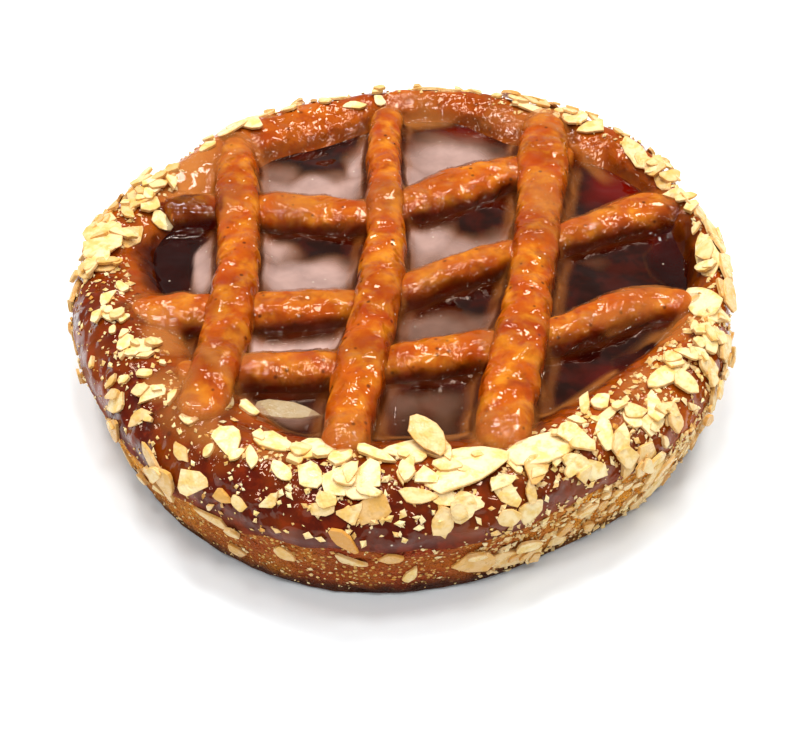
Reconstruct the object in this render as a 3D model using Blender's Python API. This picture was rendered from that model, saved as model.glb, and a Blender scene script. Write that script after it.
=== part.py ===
"""Linzer tartlet: a round, glazed shortcrust tartlet with jam under a lattice of pastry strips.

Eight solids, each a food piece that shows from outside: the crust with the
almond flakes that lie on its rim, the jam in its hollow with one more flake,
three long strips that run front to back, and three cross strips that run under
them from side to side. Sizes are millimetres in the tables and metres in the
meshes. The origin is the middle of the base, on the table, with +Z up. +Y
points away from the photograph's viewer, and bearings turn from +X towards +Y.
"""
import math

import bmesh
import bpy
import numpy as np

MM = 0.001
GAP = 0.3

# Crust: outline radius and inner edge of the rim at a few bearings in degrees.
OUTLINE = [(0, 58.6), (20, 58.6), (42, 62.0), (62, 61.2), (82, 58.6), (105, 57.2), (125, 58.2), (145, 56.4),
           (165, 60.0), (185, 60.2), (210, 59.0), (235, 60.2), (258, 60.6), (280, 58.8), (300, 57.2),
           (320, 58.8), (340, 59.2)]
INNER_EDGE = [(0, 52), (15, 53), (38, 52), (50, 49), (66, 47.5), (80, 50.5), (92, 48.5), (105, 45),
              (130, 44), (160, 45), (172, 47.5), (190, 44), (212, 42.5), (232, 42), (246, 44), (262, 41.5),
              (278, 41.5), (300, 43), (316, 43), (330, 45.5), (348, 50.5)]
RIM_MIN_WIDTH = 6.0
CREST_HEIGHT = 22.8
JAM_LINE = 18.9
WIDEST_HEIGHT = 16.8
HOLLOW_FLOOR = 13.0
LUMP_WAVES = [(3, 1.0, 0.40), (7, 2.2, 0.30), (11, 0.4, 0.20)]

# Section of the crust from the foot, up the side, over the rim and down to the
# floor: share of the outline radius, share of the rim width and millimetres
# taken off it, height, and the share of the rim's lumps that reaches it.
SECTION = [(0.950, 0, 0, 0, 0), (0.965, 0, 0, 0.9, 0), (0.976, 0, 0, 5.0, 0), (0.987, 0, 0, 9.5, 0),
           (0.992, 0, 0, 11.6, 0), (0.999, 0, 0, 13.2, 0), (1, 0, 0, WIDEST_HEIGHT, 0),
           (1, 0.07, 0, 19.3, 0.2), (1, 0.20, 0, 21.6, 0.6), (1, 0.42, 0, CREST_HEIGHT, 1),
           (1, 0.64, 0, 22.2, 0.8), (1, 0.84, 0, 20.9, 0.4), (1, 1, 0, JAM_LINE, 0),
           (1, 1, 1.4, 16.4, 0), (1, 1, 2.4, 13.6, 0), (1, 1, 4.2, HOLLOW_FLOOR, 0)]
FIRST_RIM_ROW = 6
CREST_ROW = 9
EDGE_ROW = 12
CRUST_BEARINGS = 60

# Jam: its level in the pockets and the low swells on it.
JAM_TOP = 18.7
JAM_SWELL = 0.35
JAM_RINGS = [0.22, 0.44, 0.64, 0.82, 0.95]
JAM_WALL_HEIGHTS = [17.0, HOLLOW_FLOOR + GAP]

# Strips: route and width, the height of their tops, how far a long strip rises
# over a cross strip and how far that one is pressed down.
LONG_ROUTES = {
    "strip_long_left": [(-34, 37, 7.5), (-32.5, 22, 8.7), (-31, 9, 8), (-30, -4, 8), (-30.5, -18, 8.4),
                        (-31.5, -30, 8.4), (-33, -41, 8)],
    "strip_long_mid": [(-3.5, 47.5, 7), (-4, 32, 7.2), (-3.5, 12, 7.3), (-4, -2, 8.5), (-5.5, -16, 8.6),
                       (-8, -33, 8.5), (-9.5, -47, 7.4)],
    "strip_long_right": [(29, 46, 9.4), (27.5, 32, 10.3), (25.5, 14, 8.9), (23, -3, 8.6), (20, -19, 9.2),
                         (17, -33, 9.6), (15.3, -45.5, 9.8)],
}
CROSS_ROUTES = {
    "strip_cross_back": [(-46, 16, 7.5), (-33, 17, 8.4), (-21, 16.5, 10.2), (-9, 15.2, 8), (2, 19.5, 9),
                         (10, 24.2, 10.6), (19, 28.5, 9.2), (34, 35.5, 7)],
    "strip_cross_mid": [(-47.5, -13.2, 8), (-40, -12.5, 10), (-30, -11.8, 8), (-18, -11, 8.8), (-5, -8.8, 7.4),
                        (7, -2.4, 6.8), (24, 6, 7.4), (36, 11.8, 7.6), (45, 16.3, 10), (52.5, 17.6, 10.6)],
    "strip_cross_front": [(-38, -29, 6.6), (-27, -27, 7), (-18, -26.6, 8), (-7, -25.2, 7.2), (6, -22.8, 8.2),
                          (19, -19.6, 7.4), (28, -16.8, 6.5), (37.5, -11.3, 7.6), (44, -9.4, 7.6),
                          (51, -9.8, 7)],
}
LONG_TOP = 24.5
CROSS_TOP = 22.7
CROSSING_RISE = 0.8
CROSSING_DIP = 0.9
CROSSING_REACH = 4.8
END_COVER = 1.7
STRIP_THICKNESS = 7.5
STRIP_STATION = 2.9
STRIP_SIDES = 10
STRIP_SQUARENESS = 0.86
STRIP_WAVE = 0.025

# Almond flakes: thickness of a slice, how deep it is sunk, and the small gap
# that keeps it clear of the strips.
FLAKE_THICKNESS = 1.0
FLAKE_LIFT = 0.12
FLAKE_POINTS = 8
FLAKE_CLEARANCE = 0.5
FLAKE_SEED = 11
# Flakes that stand out in the photograph: bearing, share of the way from the
# widest line to the rim's inner edge, length, width, turn from the rim's line.
NAMED_FLAKES = [(280, 0.48, 12.5, 7.5, 8), (296, 0.44, 12.5, 5.0, 0), (246, 0.66, 6.0, 5.0, -60),
                (255, 0.64, 6.5, 5.0, -75), (258, 0.34, 6.5, 5.4, 25), (264, 0.42, 7.5, 4.4, -15),
                (271, 0.66, 7.5, 5.0, 80), (266, 0.16, 6.0, 4.2, 35), (262, 0.00, 7.0, 2.4, -50),
                (301, 0.34, 5.6, 4.4, -50), (292, 0.26, 5.8, 3.4, 28), (287, 0.14, 6.2, 2.8, -45),
                (306, 0.30, 6.4, 3.0, 52), (318, 0.33, 6.5, 3.2, 50), (326, 0.40, 8.5, 3.2, -15),
                (239, 0.42, 6.2, 4.2, -32), (237, 0.06, 6.5, 3.8, 15), (208, 0.55, 5.0, 3.6, 70),
                (164, 0.72, 5.4, 3.8, -65), (174, 0.40, 9.0, 6.0, 40), (162, 0.40, 7.5, 5.2, 0),
                (131, 0.32, 8.5, 5.6, 40), (85, 0.24, 8.0, 3.0, 0), (64, 0.30, 5.0, 3.6, -78),
                (49, 0.42, 8.0, 4.4, 30), (33, 0.50, 8.5, 3.4, -15), (0, 0.45, 10.0, 3.8, 0),
                (346, 0.40, 8.0, 5.0, 30)]
# Where the rest lie: first and last bearing, first and last share, how many,
# and the shortest and longest of them.
FLAKE_BANDS = [(250, 306, 0.08, 0.62, 12, 3.8, 6.0), (306, 346, -0.05, 0.55, 14, 3.8, 6.4),
               (346, 372, 0.10, 0.55, 7, 4.0, 7.0), (12, 72, 0.15, 0.55, 10, 4.2, 7.0),
               (74, 140, 0.12, 0.50, 6, 4.0, 6.0), (152, 186, 0.10, 0.60, 7, 4.0, 6.6),
               (188, 246, 0.05, 0.62, 9, 3.8, 6.0), (228, 334, -0.75, -0.20, 7, 4.2, 6.4),
               (20, 200, -0.60, -0.05, 8, 4.2, 6.4)]
FLAKE_SPACING = 0.62
JAM_FLAKE = (-19.6, -34.2, 9.6, 4.2, -10)

COLOURS = {
    "glazed_crust": ((0.42, 0.16, 0.055), 0.38),
    "red_jam": ((0.10, 0.012, 0.008), 0.14),
    "glazed_strip": ((0.52, 0.19, 0.035), 0.30),
}


def ring_radius(knots, bearing):
    """Radius at each bearing in radians: the knots joined by a smooth closed curve."""
    angles = np.radians([knot[0] for knot in knots])
    radii = np.array([knot[1] for knot in knots], dtype=float)
    turn = 2.0 * math.pi
    angles = np.concatenate([angles[-2:] - turn, angles, angles[:2] + turn])
    radii = np.concatenate([radii[-2:], radii, radii[:2]])
    slopes = np.zeros_like(radii)
    slopes[1:-1] = (radii[2:] - radii[:-2]) / (angles[2:] - angles[:-2])
    bearing = np.mod(np.asarray(bearing, dtype=float), turn)
    i = np.clip(np.searchsorted(angles, bearing, side="right") - 1, 1, len(angles) - 3)
    span = angles[i + 1] - angles[i]
    t = (bearing - angles[i]) / span
    start = (2 * t ** 3 - 3 * t ** 2 + 1) * radii[i] + (t ** 3 - 2 * t ** 2 + t) * span * slopes[i]
    end = (-2 * t ** 3 + 3 * t ** 2) * radii[i + 1] + (t ** 3 - t ** 2) * span * slopes[i + 1]
    return start + end


def rim_lump(bearing):
    """Height in millimetres of the rim's uneven places."""
    return sum(size * np.sin(count * bearing + phase) for count, phase, size in LUMP_WAVES)


def crust_section(bearing, grow=0.0):
    """Radius and height along the crust's section, pushed outwards by grow millimetres."""
    bearing = np.asarray(bearing, dtype=float)[..., None]
    outline = ring_radius(OUTLINE, bearing)
    width = np.maximum(outline - ring_radius(INNER_EDGE, bearing), RIM_MIN_WIDTH)
    rows = np.array(SECTION)
    radius = outline * rows[:, 0] - width * rows[:, 1] - rows[:, 2]
    height = rows[:, 3] + rim_lump(bearing) * rows[:, 4]
    if grow:
        along_r = np.gradient(radius, axis=-1)
        along_z = np.gradient(height, axis=-1)
        length = np.hypot(along_r, along_z)
        radius, height = radius + grow * along_z / length, height - grow * along_r / length
    return radius, height


def rim_point(bearing, share):
    """Point on the crust: share 0 at the widest line, 1 at the inner edge, -1 at the foot."""
    rows = np.array(SECTION[:EDGE_ROW + 1])
    shares = rows[:, 1].copy()
    shares[:FIRST_RIM_ROW] = rows[:FIRST_RIM_ROW, 3] / WIDEST_HEIGHT - 1.0
    radius, height = crust_section(bearing)
    r = np.interp(share, shares, radius[:EDGE_ROW + 1])
    z = np.interp(share, shares, height[:EDGE_ROW + 1])
    return np.array([r * math.cos(bearing), r * math.sin(bearing), z])


def bed_height(x, y):
    """Height of what a strip lies on: the jam, or the rim's inner slope."""
    radius, height = crust_section(math.atan2(y, x))
    slope_r = radius[EDGE_ROW:CREST_ROW - 1:-1]
    slope_z = height[EDGE_ROW:CREST_ROW - 1:-1]
    return float(np.interp(math.hypot(x, y), slope_r, slope_z))


def jam_height(x, y):
    """Height of the jam's surface, with its low swells."""
    swell = np.sin(0.21 * x + 1.1) * np.cos(0.17 * y - 0.4) + 0.6 * np.sin(0.33 * y + 0.12 * x)
    return JAM_TOP + JAM_SWELL * swell / 1.6


def smooth_route(knots, step):
    """Stations along a smooth curve through the knots, about step apart."""
    points = np.array(knots, dtype=float)
    padded = np.vstack([2 * points[0] - points[1], points, 2 * points[-1] - points[-2]])
    length = np.linalg.norm(np.diff(points[:, :2], axis=0), axis=1).sum()
    count = max(int(length / step), 2) + 1
    t = np.linspace(0, len(points) - 1 - 1e-9, count)
    i = t.astype(int)
    f = (t - i)[:, None]
    a, b, c, d = padded[i], padded[i + 1], padded[i + 2], padded[i + 3]
    return 0.5 * (2 * b + (c - a) * f + (2 * a - 5 * b + 4 * c - d) * f ** 2
                  + (3 * b - a - 3 * c + d) * f ** 3)


def crossings(route, others):
    """Places where a route meets other routes, seen from above."""
    own = smooth_route(route, 0.5)[:, :2]
    places = []
    for other in others:
        path = smooth_route(other, 0.5)[:, :2]
        apart = np.linalg.norm(own[:, None] - path[None], axis=2)
        if apart.min() < 1.0:
            places.append(own[np.unravel_index(apart.argmin(), apart.shape)[0]])
    return places


def strip_stations(name):
    """Centre x, y, width and top height at each station of a strip."""
    is_long = name in LONG_ROUTES
    route = LONG_ROUTES[name] if is_long else CROSS_ROUTES[name]
    others = CROSS_ROUTES.values() if is_long else LONG_ROUTES.values()
    change = CROSSING_RISE if is_long else -CROSSING_DIP
    stations = smooth_route(route, STRIP_STATION)
    top = np.full(len(stations), LONG_TOP if is_long else CROSS_TOP)
    for place in crossings(route, others):
        away = np.linalg.norm(stations[:, :2] - place, axis=1)
        top += change * np.exp(-(away / CROSSING_REACH) ** 2)
    bed = np.array([bed_height(x, y) for x, y in stations[:, :2]])
    on_rim = bed + END_COVER
    top = np.maximum(top, on_rim) + 0.25 * np.exp(-np.abs(top - on_rim))
    return np.column_stack([stations, top])


def build_mesh(name, vertices, faces, slot):
    """Object named name from vertices in millimetres, its faces turned outwards."""
    mesh = bpy.data.meshes.new(name)
    mesh.from_pydata([tuple(MM * float(c) for c in v) for v in vertices], [], faces)
    shape = bmesh.new()
    shape.from_mesh(mesh)
    bmesh.ops.recalc_face_normals(shape, faces=shape.faces)
    shape.to_mesh(mesh)
    shape.free()
    mesh.materials.append(material(slot))
    piece = bpy.data.objects.new(name, mesh)
    bpy.context.scene.collection.objects.link(piece)
    return piece


def material(slot):
    """Material of a slot, made on its first use."""
    if slot in bpy.data.materials:
        return bpy.data.materials[slot]
    colour, roughness = COLOURS[slot]
    made = bpy.data.materials.new(slot)
    made.use_nodes = True
    shader = made.node_tree.nodes["Principled BSDF"]
    shader.inputs["Base Color"].default_value = (*colour, 1.0)
    shader.inputs["Roughness"].default_value = roughness
    shader.inputs["Metallic"].default_value = 0.0
    made.diffuse_color = (*colour, 1.0)
    return made


def ring_faces(ring_count, around):
    """Four-sided faces between neighbouring closed rings of points."""
    faces = []
    for ring in range(ring_count - 1):
        for i in range(around):
            j = (i + 1) % around
            a, b = ring * around, (ring + 1) * around
            faces.append((a + i, a + j, b + j, b + i))
    return faces


def crust_body(name, grow=0.0):
    """The crust without flakes: foot, side, lumpy rim and shallow hollow."""
    bearings = np.arange(CRUST_BEARINGS) * 2.0 * math.pi / CRUST_BEARINGS
    radius, height = crust_section(bearings, grow)
    rows = radius.shape[1]
    vertices = []
    for row in range(rows):
        for i, bearing in enumerate(bearings):
            r = radius[i, row]
            vertices.append((r * math.cos(bearing), r * math.sin(bearing), height[i, row]))
    faces = ring_faces(rows, CRUST_BEARINGS)
    faces.append(tuple(range(CRUST_BEARINGS)))
    vertices.append((0.0, 0.0, HOLLOW_FLOOR + grow))
    last = (rows - 1) * CRUST_BEARINGS
    for i in range(CRUST_BEARINGS):
        faces.append((last + i, last + (i + 1) % CRUST_BEARINGS, len(vertices) - 1))
    return build_mesh(name, vertices, faces, "glazed_crust")


def jam_body(name, raise_top=0.0, spread=0.0):
    """The jam: a disc with a swelling top that fills the hollow up to its line."""
    bearings = np.arange(CRUST_BEARINGS) * 2.0 * math.pi / CRUST_BEARINGS
    radius, height = crust_section(bearings, GAP)
    inner_r = radius[:, :CREST_ROW - 1:-1]
    inner_z = height[:, :CREST_ROW - 1:-1]
    vertices = [(0.0, 0.0, float(jam_height(0.0, 0.0)) + raise_top)]
    rings = []
    for share in JAM_RINGS + [1.0]:
        ring = []
        for i, bearing in enumerate(bearings):
            wall = np.interp(JAM_TOP, inner_z[i], inner_r[i]) + spread
            x, y = share * wall * math.cos(bearing), share * wall * math.sin(bearing)
            top = jam_height(x, y) if share < 1.0 else JAM_TOP
            ring.append((x, y, float(top) + raise_top))
        rings.append(ring)
    for level in JAM_WALL_HEIGHTS:
        ring = []
        for i, bearing in enumerate(bearings):
            wall = np.interp(level, inner_z[i], inner_r[i])
            ring.append((wall * math.cos(bearing), wall * math.sin(bearing), level))
        rings.append(ring)
    for ring in rings:
        vertices.extend(ring)
    faces = [tuple(k + 1 for k in face) for face in ring_faces(len(rings), CRUST_BEARINGS)]
    for i in range(CRUST_BEARINGS):
        faces.append((0, 1 + i, 1 + (i + 1) % CRUST_BEARINGS))
    last = 1 + (len(rings) - 1) * CRUST_BEARINGS
    faces.append(tuple(range(last, last + CRUST_BEARINGS)))
    return build_mesh(name, vertices, faces, "red_jam")


def strip_body(name, object_name, grow=0.0):
    """A pastry rope: an oval carried along its route, with rounded ends."""
    stations = strip_stations(name)
    path = stations[:, :2]
    steps = np.linalg.norm(np.diff(path, axis=0), axis=1)
    along = np.concatenate([[0.0], np.cumsum(steps)])
    total = along[-1]
    ends = [0.0, 0.35, 1.1, 2.2]
    places = ends + list(along[(along > 3.4) & (along < total - 3.4)]) + [total - e for e in reversed(ends)]
    rings = []
    for place in places:
        x, y, width, top = (np.interp(place, along, stations[:, k]) for k in range(4))
        ahead = min(place + 0.5, total)
        behind = max(place - 0.5, 0.0)
        heading = [np.interp(ahead, along, path[:, k]) - np.interp(behind, along, path[:, k]) for k in (0, 1)]
        heading = np.array(heading) / np.linalg.norm(heading)
        side = np.array([-heading[1], heading[0]])
        from_tip = min(place, total - place)
        cap = 0.45 * width
        round_off = math.sqrt(max(1.0 - (1.0 - min(from_tip / cap, 1.0)) ** 2, 0.06))
        wave = 1.0 + STRIP_WAVE * math.sin(0.9 * place) + STRIP_WAVE * math.sin(0.37 * place + x)
        half_width = 0.5 * width * round_off * wave + grow
        half_height = 0.5 * STRIP_THICKNESS * (0.45 + 0.55 * round_off) + grow
        tip_shift = -grow if place == 0.0 else (grow if place == total else 0.0)
        centre = np.array([x, y]) + tip_shift * heading
        middle = top + grow - half_height - 0.25 * (1.0 - round_off) * STRIP_THICKNESS
        ring = []
        for k in range(STRIP_SIDES):
            angle = 2.0 * math.pi * k / STRIP_SIDES
            c, s = math.cos(angle), math.sin(angle)
            across = math.copysign(abs(c) ** STRIP_SQUARENESS, c) * half_width
            up = math.copysign(abs(s) ** STRIP_SQUARENESS, s) * half_height
            ring.append((centre[0] + across * side[0], centre[1] + across * side[1], middle + up))
        rings.append(ring)
    vertices = [point for ring in rings for point in ring]
    faces = ring_faces(len(rings), STRIP_SIDES)
    faces.append(tuple(range(STRIP_SIDES)))
    faces.append(tuple(range(len(vertices) - STRIP_SIDES, len(vertices))))
    return build_mesh(object_name, vertices, faces, "glazed_strip")


def apply_boolean(target, operation, cutter=None, collection=None):
    """Union or difference with an object or a collection, applied, and the other side removed."""
    tool = target.modifiers.new("join_or_cut", "BOOLEAN")
    tool.operation = operation
    tool.solver = "EXACT"
    if cutter:
        tool.object = cutter
    else:
        tool.operand_type = "COLLECTION"
        tool.collection = collection
    bpy.context.view_layer.update()
    graph = bpy.context.evaluated_depsgraph_get()
    result = bpy.data.meshes.new_from_object(target.evaluated_get(graph))
    target.modifiers.clear()
    target.data = result
    for used in [cutter] if cutter else list(collection.objects):
        bpy.data.objects.remove(used)
    if collection:
        bpy.data.collections.remove(collection)


def keep_largest(piece):
    """Drops loose scrap that a cut leaves, merges its doubles and makes it all triangles."""
    shape = bmesh.new()
    shape.from_mesh(piece.data)
    bmesh.ops.remove_doubles(shape, verts=shape.verts, dist=0.01 * MM)
    left = set(shape.verts)
    groups = []
    while left:
        stack = [left.pop()]
        group = set(stack)
        while stack:
            for edge in stack.pop().link_edges:
                for vertex in edge.verts:
                    if vertex in left:
                        left.discard(vertex)
                        group.add(vertex)
                        stack.append(vertex)
        groups.append(group)
    largest = max(groups, key=len)
    scrap = [vertex for group in groups if group is not largest for vertex in group]
    bmesh.ops.delete(shape, geom=scrap, context="VERTS")
    bmesh.ops.triangulate(shape, faces=shape.faces)
    shape.to_mesh(piece.data)
    shape.free()


def shade(piece, degrees=40):
    """Smooth shading with sharp edges where the surface turns quickly."""
    piece.data.shade_smooth()
    piece.data.set_sharp_from_angle(angle=math.radians(degrees))


def flake_points(centre, normal, heading, length, width, rng):
    """Top and bottom rings of one almond slice: an oval with one narrower end, bent a little."""
    side = np.cross(normal, heading)
    angles = np.arange(FLAKE_POINTS) * 2.0 * math.pi / FLAKE_POINTS + rng.uniform(0, 0.5)
    jitter = rng.uniform(0.88, 1.06, FLAKE_POINTS)
    u = 0.5 * length * np.cos(angles) * jitter
    v = 0.5 * width * np.sin(angles) * (1.0 - 0.22 * np.cos(angles)) * jitter
    bend = -0.006 * u ** 2 + 0.012 * rng.uniform(-1, 1) * u
    flat = centre + u[:, None] * heading + v[:, None] * side
    half = 0.5 * FLAKE_THICKNESS * normal
    lift = bend[:, None] * normal
    return flat + lift + half, flat + lift - half


def flake_is_clear(points, strip_lines, jam_limit=True):
    """Whether a flake keeps its gap to every strip and, if asked, stays off the jam."""
    for stations in strip_lines:
        apart = np.linalg.norm(points[:, None, :2] - stations[None, :, :2], axis=2) - 0.5 * stations[None, :, 2]
        if apart.min() < FLAKE_CLEARANCE:
            return False
    if jam_limit:
        bearing = np.arctan2(points[:, 1], points[:, 0])
        over_jam = np.hypot(points[:, 0], points[:, 1]) < ring_radius(INNER_EDGE, bearing) + FLAKE_CLEARANCE
        if np.any(over_jam & (points[:, 2] < JAM_TOP + 1.0)):
            return False
    return True


def rim_frame(bearing, share):
    """Point on the crust, the outward normal there and the direction along the rim."""
    step = 0.004
    here = rim_point(bearing, share)
    along = rim_point(bearing + step, share) - rim_point(bearing - step, share)
    across = rim_point(bearing, min(share + 0.03, 1.0)) - rim_point(bearing, share - 0.03)
    along /= np.linalg.norm(along)
    normal = np.cross(along, across)
    normal /= np.linalg.norm(normal)
    return here, normal, along


def add_flake(collection, name, top, bottom, slot):
    """One closed slice of almond in the collection that is joined later."""
    count = len(top)
    faces = ring_faces(2, count)
    faces.append(tuple(range(count)))
    faces.append(tuple(range(2 * count - 1, count - 1, -1)))
    piece = build_mesh(name, np.vstack([top, bottom]), faces, slot)
    bpy.context.scene.collection.objects.unlink(piece)
    collection.objects.link(piece)


def rim_flakes(strip_lines):
    """Places and sizes of the rim's flakes: the named ones, then each band's, largest first."""
    rng = np.random.default_rng(FLAKE_SEED)
    wanted = [(math.radians(b), s, length, width, math.radians(t)) for b, s, length, width, t in NAMED_FLAKES]
    for first, last, low, high, count, shortest, longest in FLAKE_BANDS:
        sizes = np.sort(rng.uniform(shortest, longest, count))[::-1]
        for size in sizes:
            wanted.append((first, last, low, high, size))
    placed = []
    centres = []
    for row in wanted:
        named = len(row) == 5 and row[2] > 1.0
        for attempt in range(4 if named else 60):
            if named:
                bearing, share, length, width, turn = row
                length, width = length * 0.88 ** attempt, width * 0.88 ** attempt
            else:
                first, last, low, high, length = row
                bearing = math.radians(rng.uniform(first, last))
                share = rng.uniform(low, high)
                turn = rng.uniform(-1.5, 1.5)
                width = length * rng.uniform(0.45, 0.72)
            centre, normal, along = rim_frame(bearing, share)
            tilt = normal + 0.10 * rng.uniform(-1, 1, 3)
            tilt /= np.linalg.norm(tilt)
            side = np.cross(tilt, along)
            heading = math.cos(turn) * along + math.sin(turn) * side
            heading -= heading.dot(tilt) * tilt
            heading /= np.linalg.norm(heading)
            top, bottom = flake_points(centre + FLAKE_LIFT * normal, tilt, heading, length, width, rng)
            room = all(np.linalg.norm(centre - c) > FLAKE_SPACING * 0.5 * (length + other) for c, other in centres)
            if (named or room) and flake_is_clear(np.vstack([top, bottom]), strip_lines):
                placed.append((top, bottom))
                centres.append((centre, length))
                break
    return placed


def build_crust(strip_lines):
    """The crust with its almond flakes joined to it."""
    crust = crust_body("crust")
    flakes = bpy.data.collections.new("flakes")
    bpy.context.scene.collection.children.link(flakes)
    for number, (top, bottom) in enumerate(rim_flakes(strip_lines)):
        add_flake(flakes, f"flake_{number}", top, bottom, "glazed_crust")
    apply_boolean(crust, "UNION", collection=flakes)
    keep_largest(crust)
    shade(crust, 35)


def build_jam(strip_lines):
    """The jam with the one long flake that lies in it."""
    jam = jam_body("jam")
    x, y, length, width, turn = JAM_FLAKE
    turn = math.radians(turn)
    heading = np.array([math.cos(turn), math.sin(turn), 0.0])
    normal = np.array([0.0, 0.0, 1.0])
    centre = np.array([x, y, float(jam_height(x, y)) + 2.0 * FLAKE_LIFT])
    rng = np.random.default_rng(FLAKE_SEED)
    top, bottom = flake_points(centre, normal, heading, length, width, rng)
    if flake_is_clear(np.vstack([top, bottom]), strip_lines, jam_limit=False):
        flakes = bpy.data.collections.new("flakes")
        bpy.context.scene.collection.children.link(flakes)
        add_flake(flakes, "jam_flake", top, bottom, "red_jam")
        apply_boolean(jam, "UNION", collection=flakes)
    keep_largest(jam)
    shade(jam)


def build_strips():
    """The six strips, each cut to lie on the jam and rim, long ones also over cross ones."""
    for name in list(CROSS_ROUTES) + list(LONG_ROUTES):
        strip = strip_body(name, name)
        apply_boolean(strip, "DIFFERENCE", cutter=crust_body("cutter", grow=GAP))
        apply_boolean(strip, "DIFFERENCE", cutter=jam_body("cutter", raise_top=GAP, spread=0.9))
        if name in LONG_ROUTES:
            for other in CROSS_ROUTES:
                apply_boolean(strip, "DIFFERENCE", cutter=strip_body(other, "cutter", grow=GAP))
        keep_largest(strip)
        shade(strip)


def main():
    """Builds the eight solids in an empty scene."""
    for old in list(bpy.data.objects):
        bpy.data.objects.remove(old)
    strip_lines = [strip_stations(name) for name in list(LONG_ROUTES) + list(CROSS_ROUTES)]
    build_crust(strip_lines)
    build_jam(strip_lines)
    build_strips()


main()
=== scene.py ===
"""Looks of a linzer tartlet: glazed shortcrust, jam, a pastry lattice, sugar glaze and almond flakes.

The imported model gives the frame, and each piece here stands for one of its nodes
or lies on them. Shapes are worked out in millimetres, as functions on grids, and
go into the meshes in metres. +Y points away from the photograph's viewer, and
bearings turn from +X towards +Y.
"""
import logging
import math
from dataclasses import dataclass
from enum import Enum
from itertools import product

import bpy
import numpy as np
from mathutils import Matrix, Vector

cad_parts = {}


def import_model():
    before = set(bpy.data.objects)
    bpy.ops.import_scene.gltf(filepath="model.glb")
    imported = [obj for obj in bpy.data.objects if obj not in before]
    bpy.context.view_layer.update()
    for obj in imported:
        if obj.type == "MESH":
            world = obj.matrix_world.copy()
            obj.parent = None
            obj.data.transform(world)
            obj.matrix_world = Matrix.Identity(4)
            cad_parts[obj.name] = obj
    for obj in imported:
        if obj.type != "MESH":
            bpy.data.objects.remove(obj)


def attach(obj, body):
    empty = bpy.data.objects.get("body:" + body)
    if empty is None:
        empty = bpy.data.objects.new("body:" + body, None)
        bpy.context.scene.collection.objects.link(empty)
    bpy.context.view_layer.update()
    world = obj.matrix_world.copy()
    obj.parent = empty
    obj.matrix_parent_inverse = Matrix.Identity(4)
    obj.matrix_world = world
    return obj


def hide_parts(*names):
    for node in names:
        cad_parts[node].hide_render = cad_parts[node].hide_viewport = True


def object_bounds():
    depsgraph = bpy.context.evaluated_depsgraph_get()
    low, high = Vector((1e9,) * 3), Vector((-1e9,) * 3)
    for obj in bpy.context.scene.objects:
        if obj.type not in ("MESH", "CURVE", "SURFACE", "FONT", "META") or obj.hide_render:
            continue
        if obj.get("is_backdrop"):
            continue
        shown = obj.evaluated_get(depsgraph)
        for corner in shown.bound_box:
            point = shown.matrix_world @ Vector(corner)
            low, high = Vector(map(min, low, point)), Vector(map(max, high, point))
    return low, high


LOG = logging.getLogger("tartlet")
MM = 0.001
TURN = 2.0 * math.pi

Array = np.ndarray
Rgb = tuple[float, float, float]
Knots = tuple[tuple[float, float], ...]
Route = tuple[tuple[float, float, float], ...]
FlakeRow = tuple[float, float, float, float, float, float]
Socket = bpy.types.NodeSocket
Value = float | Socket
Meshed = tuple[Array, Array, Array, dict[str, Array]]
Colour = Rgb | Socket

# How much light the glaze mirrors, and the tint of that light on clear and on milky glaze.
GLAZE_SHINE = 0.48
GLAZE_TINT = (1.0, 0.70, 0.50, 1.0)
MILK_TINT = (1.0, 0.82, 0.74, 1.0)
# Linear colour of the painted glints: pale specks in the colour of the glaze, rim and strips.
PAINTED_GLINT: Rgb = (1.0, 0.86, 0.66)
# How many times denser the finer waves of a ripple are than the broad ones.
FINER = 2.3


def shown(red: float, green: float, blue: float) -> Rgb:
    """Linear colour of the 0 to 255 values that a picture shows.

    Args:
        red: Red value in the picture.
        green: Green value in the picture.
        blue: Blue value in the picture.

    Returns:
        The three linear values: each share to the power 2.2.
    """
    return (red / 255) ** 2.2, (green / 255) ** 2.2, (blue / 255) ** 2.2


def smoothstep(value: Array, low: float, high: float) -> Array:
    """Soft step: 0 under low, 1 over high, and 3t^2 - 2t^3 of the share t between them.

    Args:
        value: Where the step is read.
        low: Value where it starts to rise.
        high: Value where it is complete.

    Returns:
        The step at each value.
    """
    t = np.clip((value - low) / (high - low), 0.0, 1.0)
    return t * t * (3.0 - 2.0 * t)


def between(value: Array, steps: tuple[float, float, float, float]) -> Array:
    """Share that rises from the first value to the second and falls from the third to the fourth."""
    return smoothstep(value, steps[0], steps[1]) * (1.0 - smoothstep(value, steps[2], steps[3]))


def smooth_max(first: Array, second: Array, reach: float) -> Array:
    """Larger of two heights, with a round fillet where they come within reach of each other.

    With h the share (0.5 + (a - b) / 2 reach) held from 0 to 1, it is
    b + (a - b) h + reach h (1 - h).

    Args:
        first: Heights a.
        second: Heights b.
        reach: Difference in height at which the fillet starts.

    Returns:
        The blended heights.
    """
    h = np.clip(0.5 + 0.5 * (first - second) / reach, 0.0, 1.0)
    return second + (first - second) * h + reach * h * (1.0 - h)


def unit(vectors: Array) -> Array:
    """Vectors scaled to length one."""
    return vectors / np.maximum(np.linalg.norm(vectors, axis=-1, keepdims=True), 1e-12)


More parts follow.
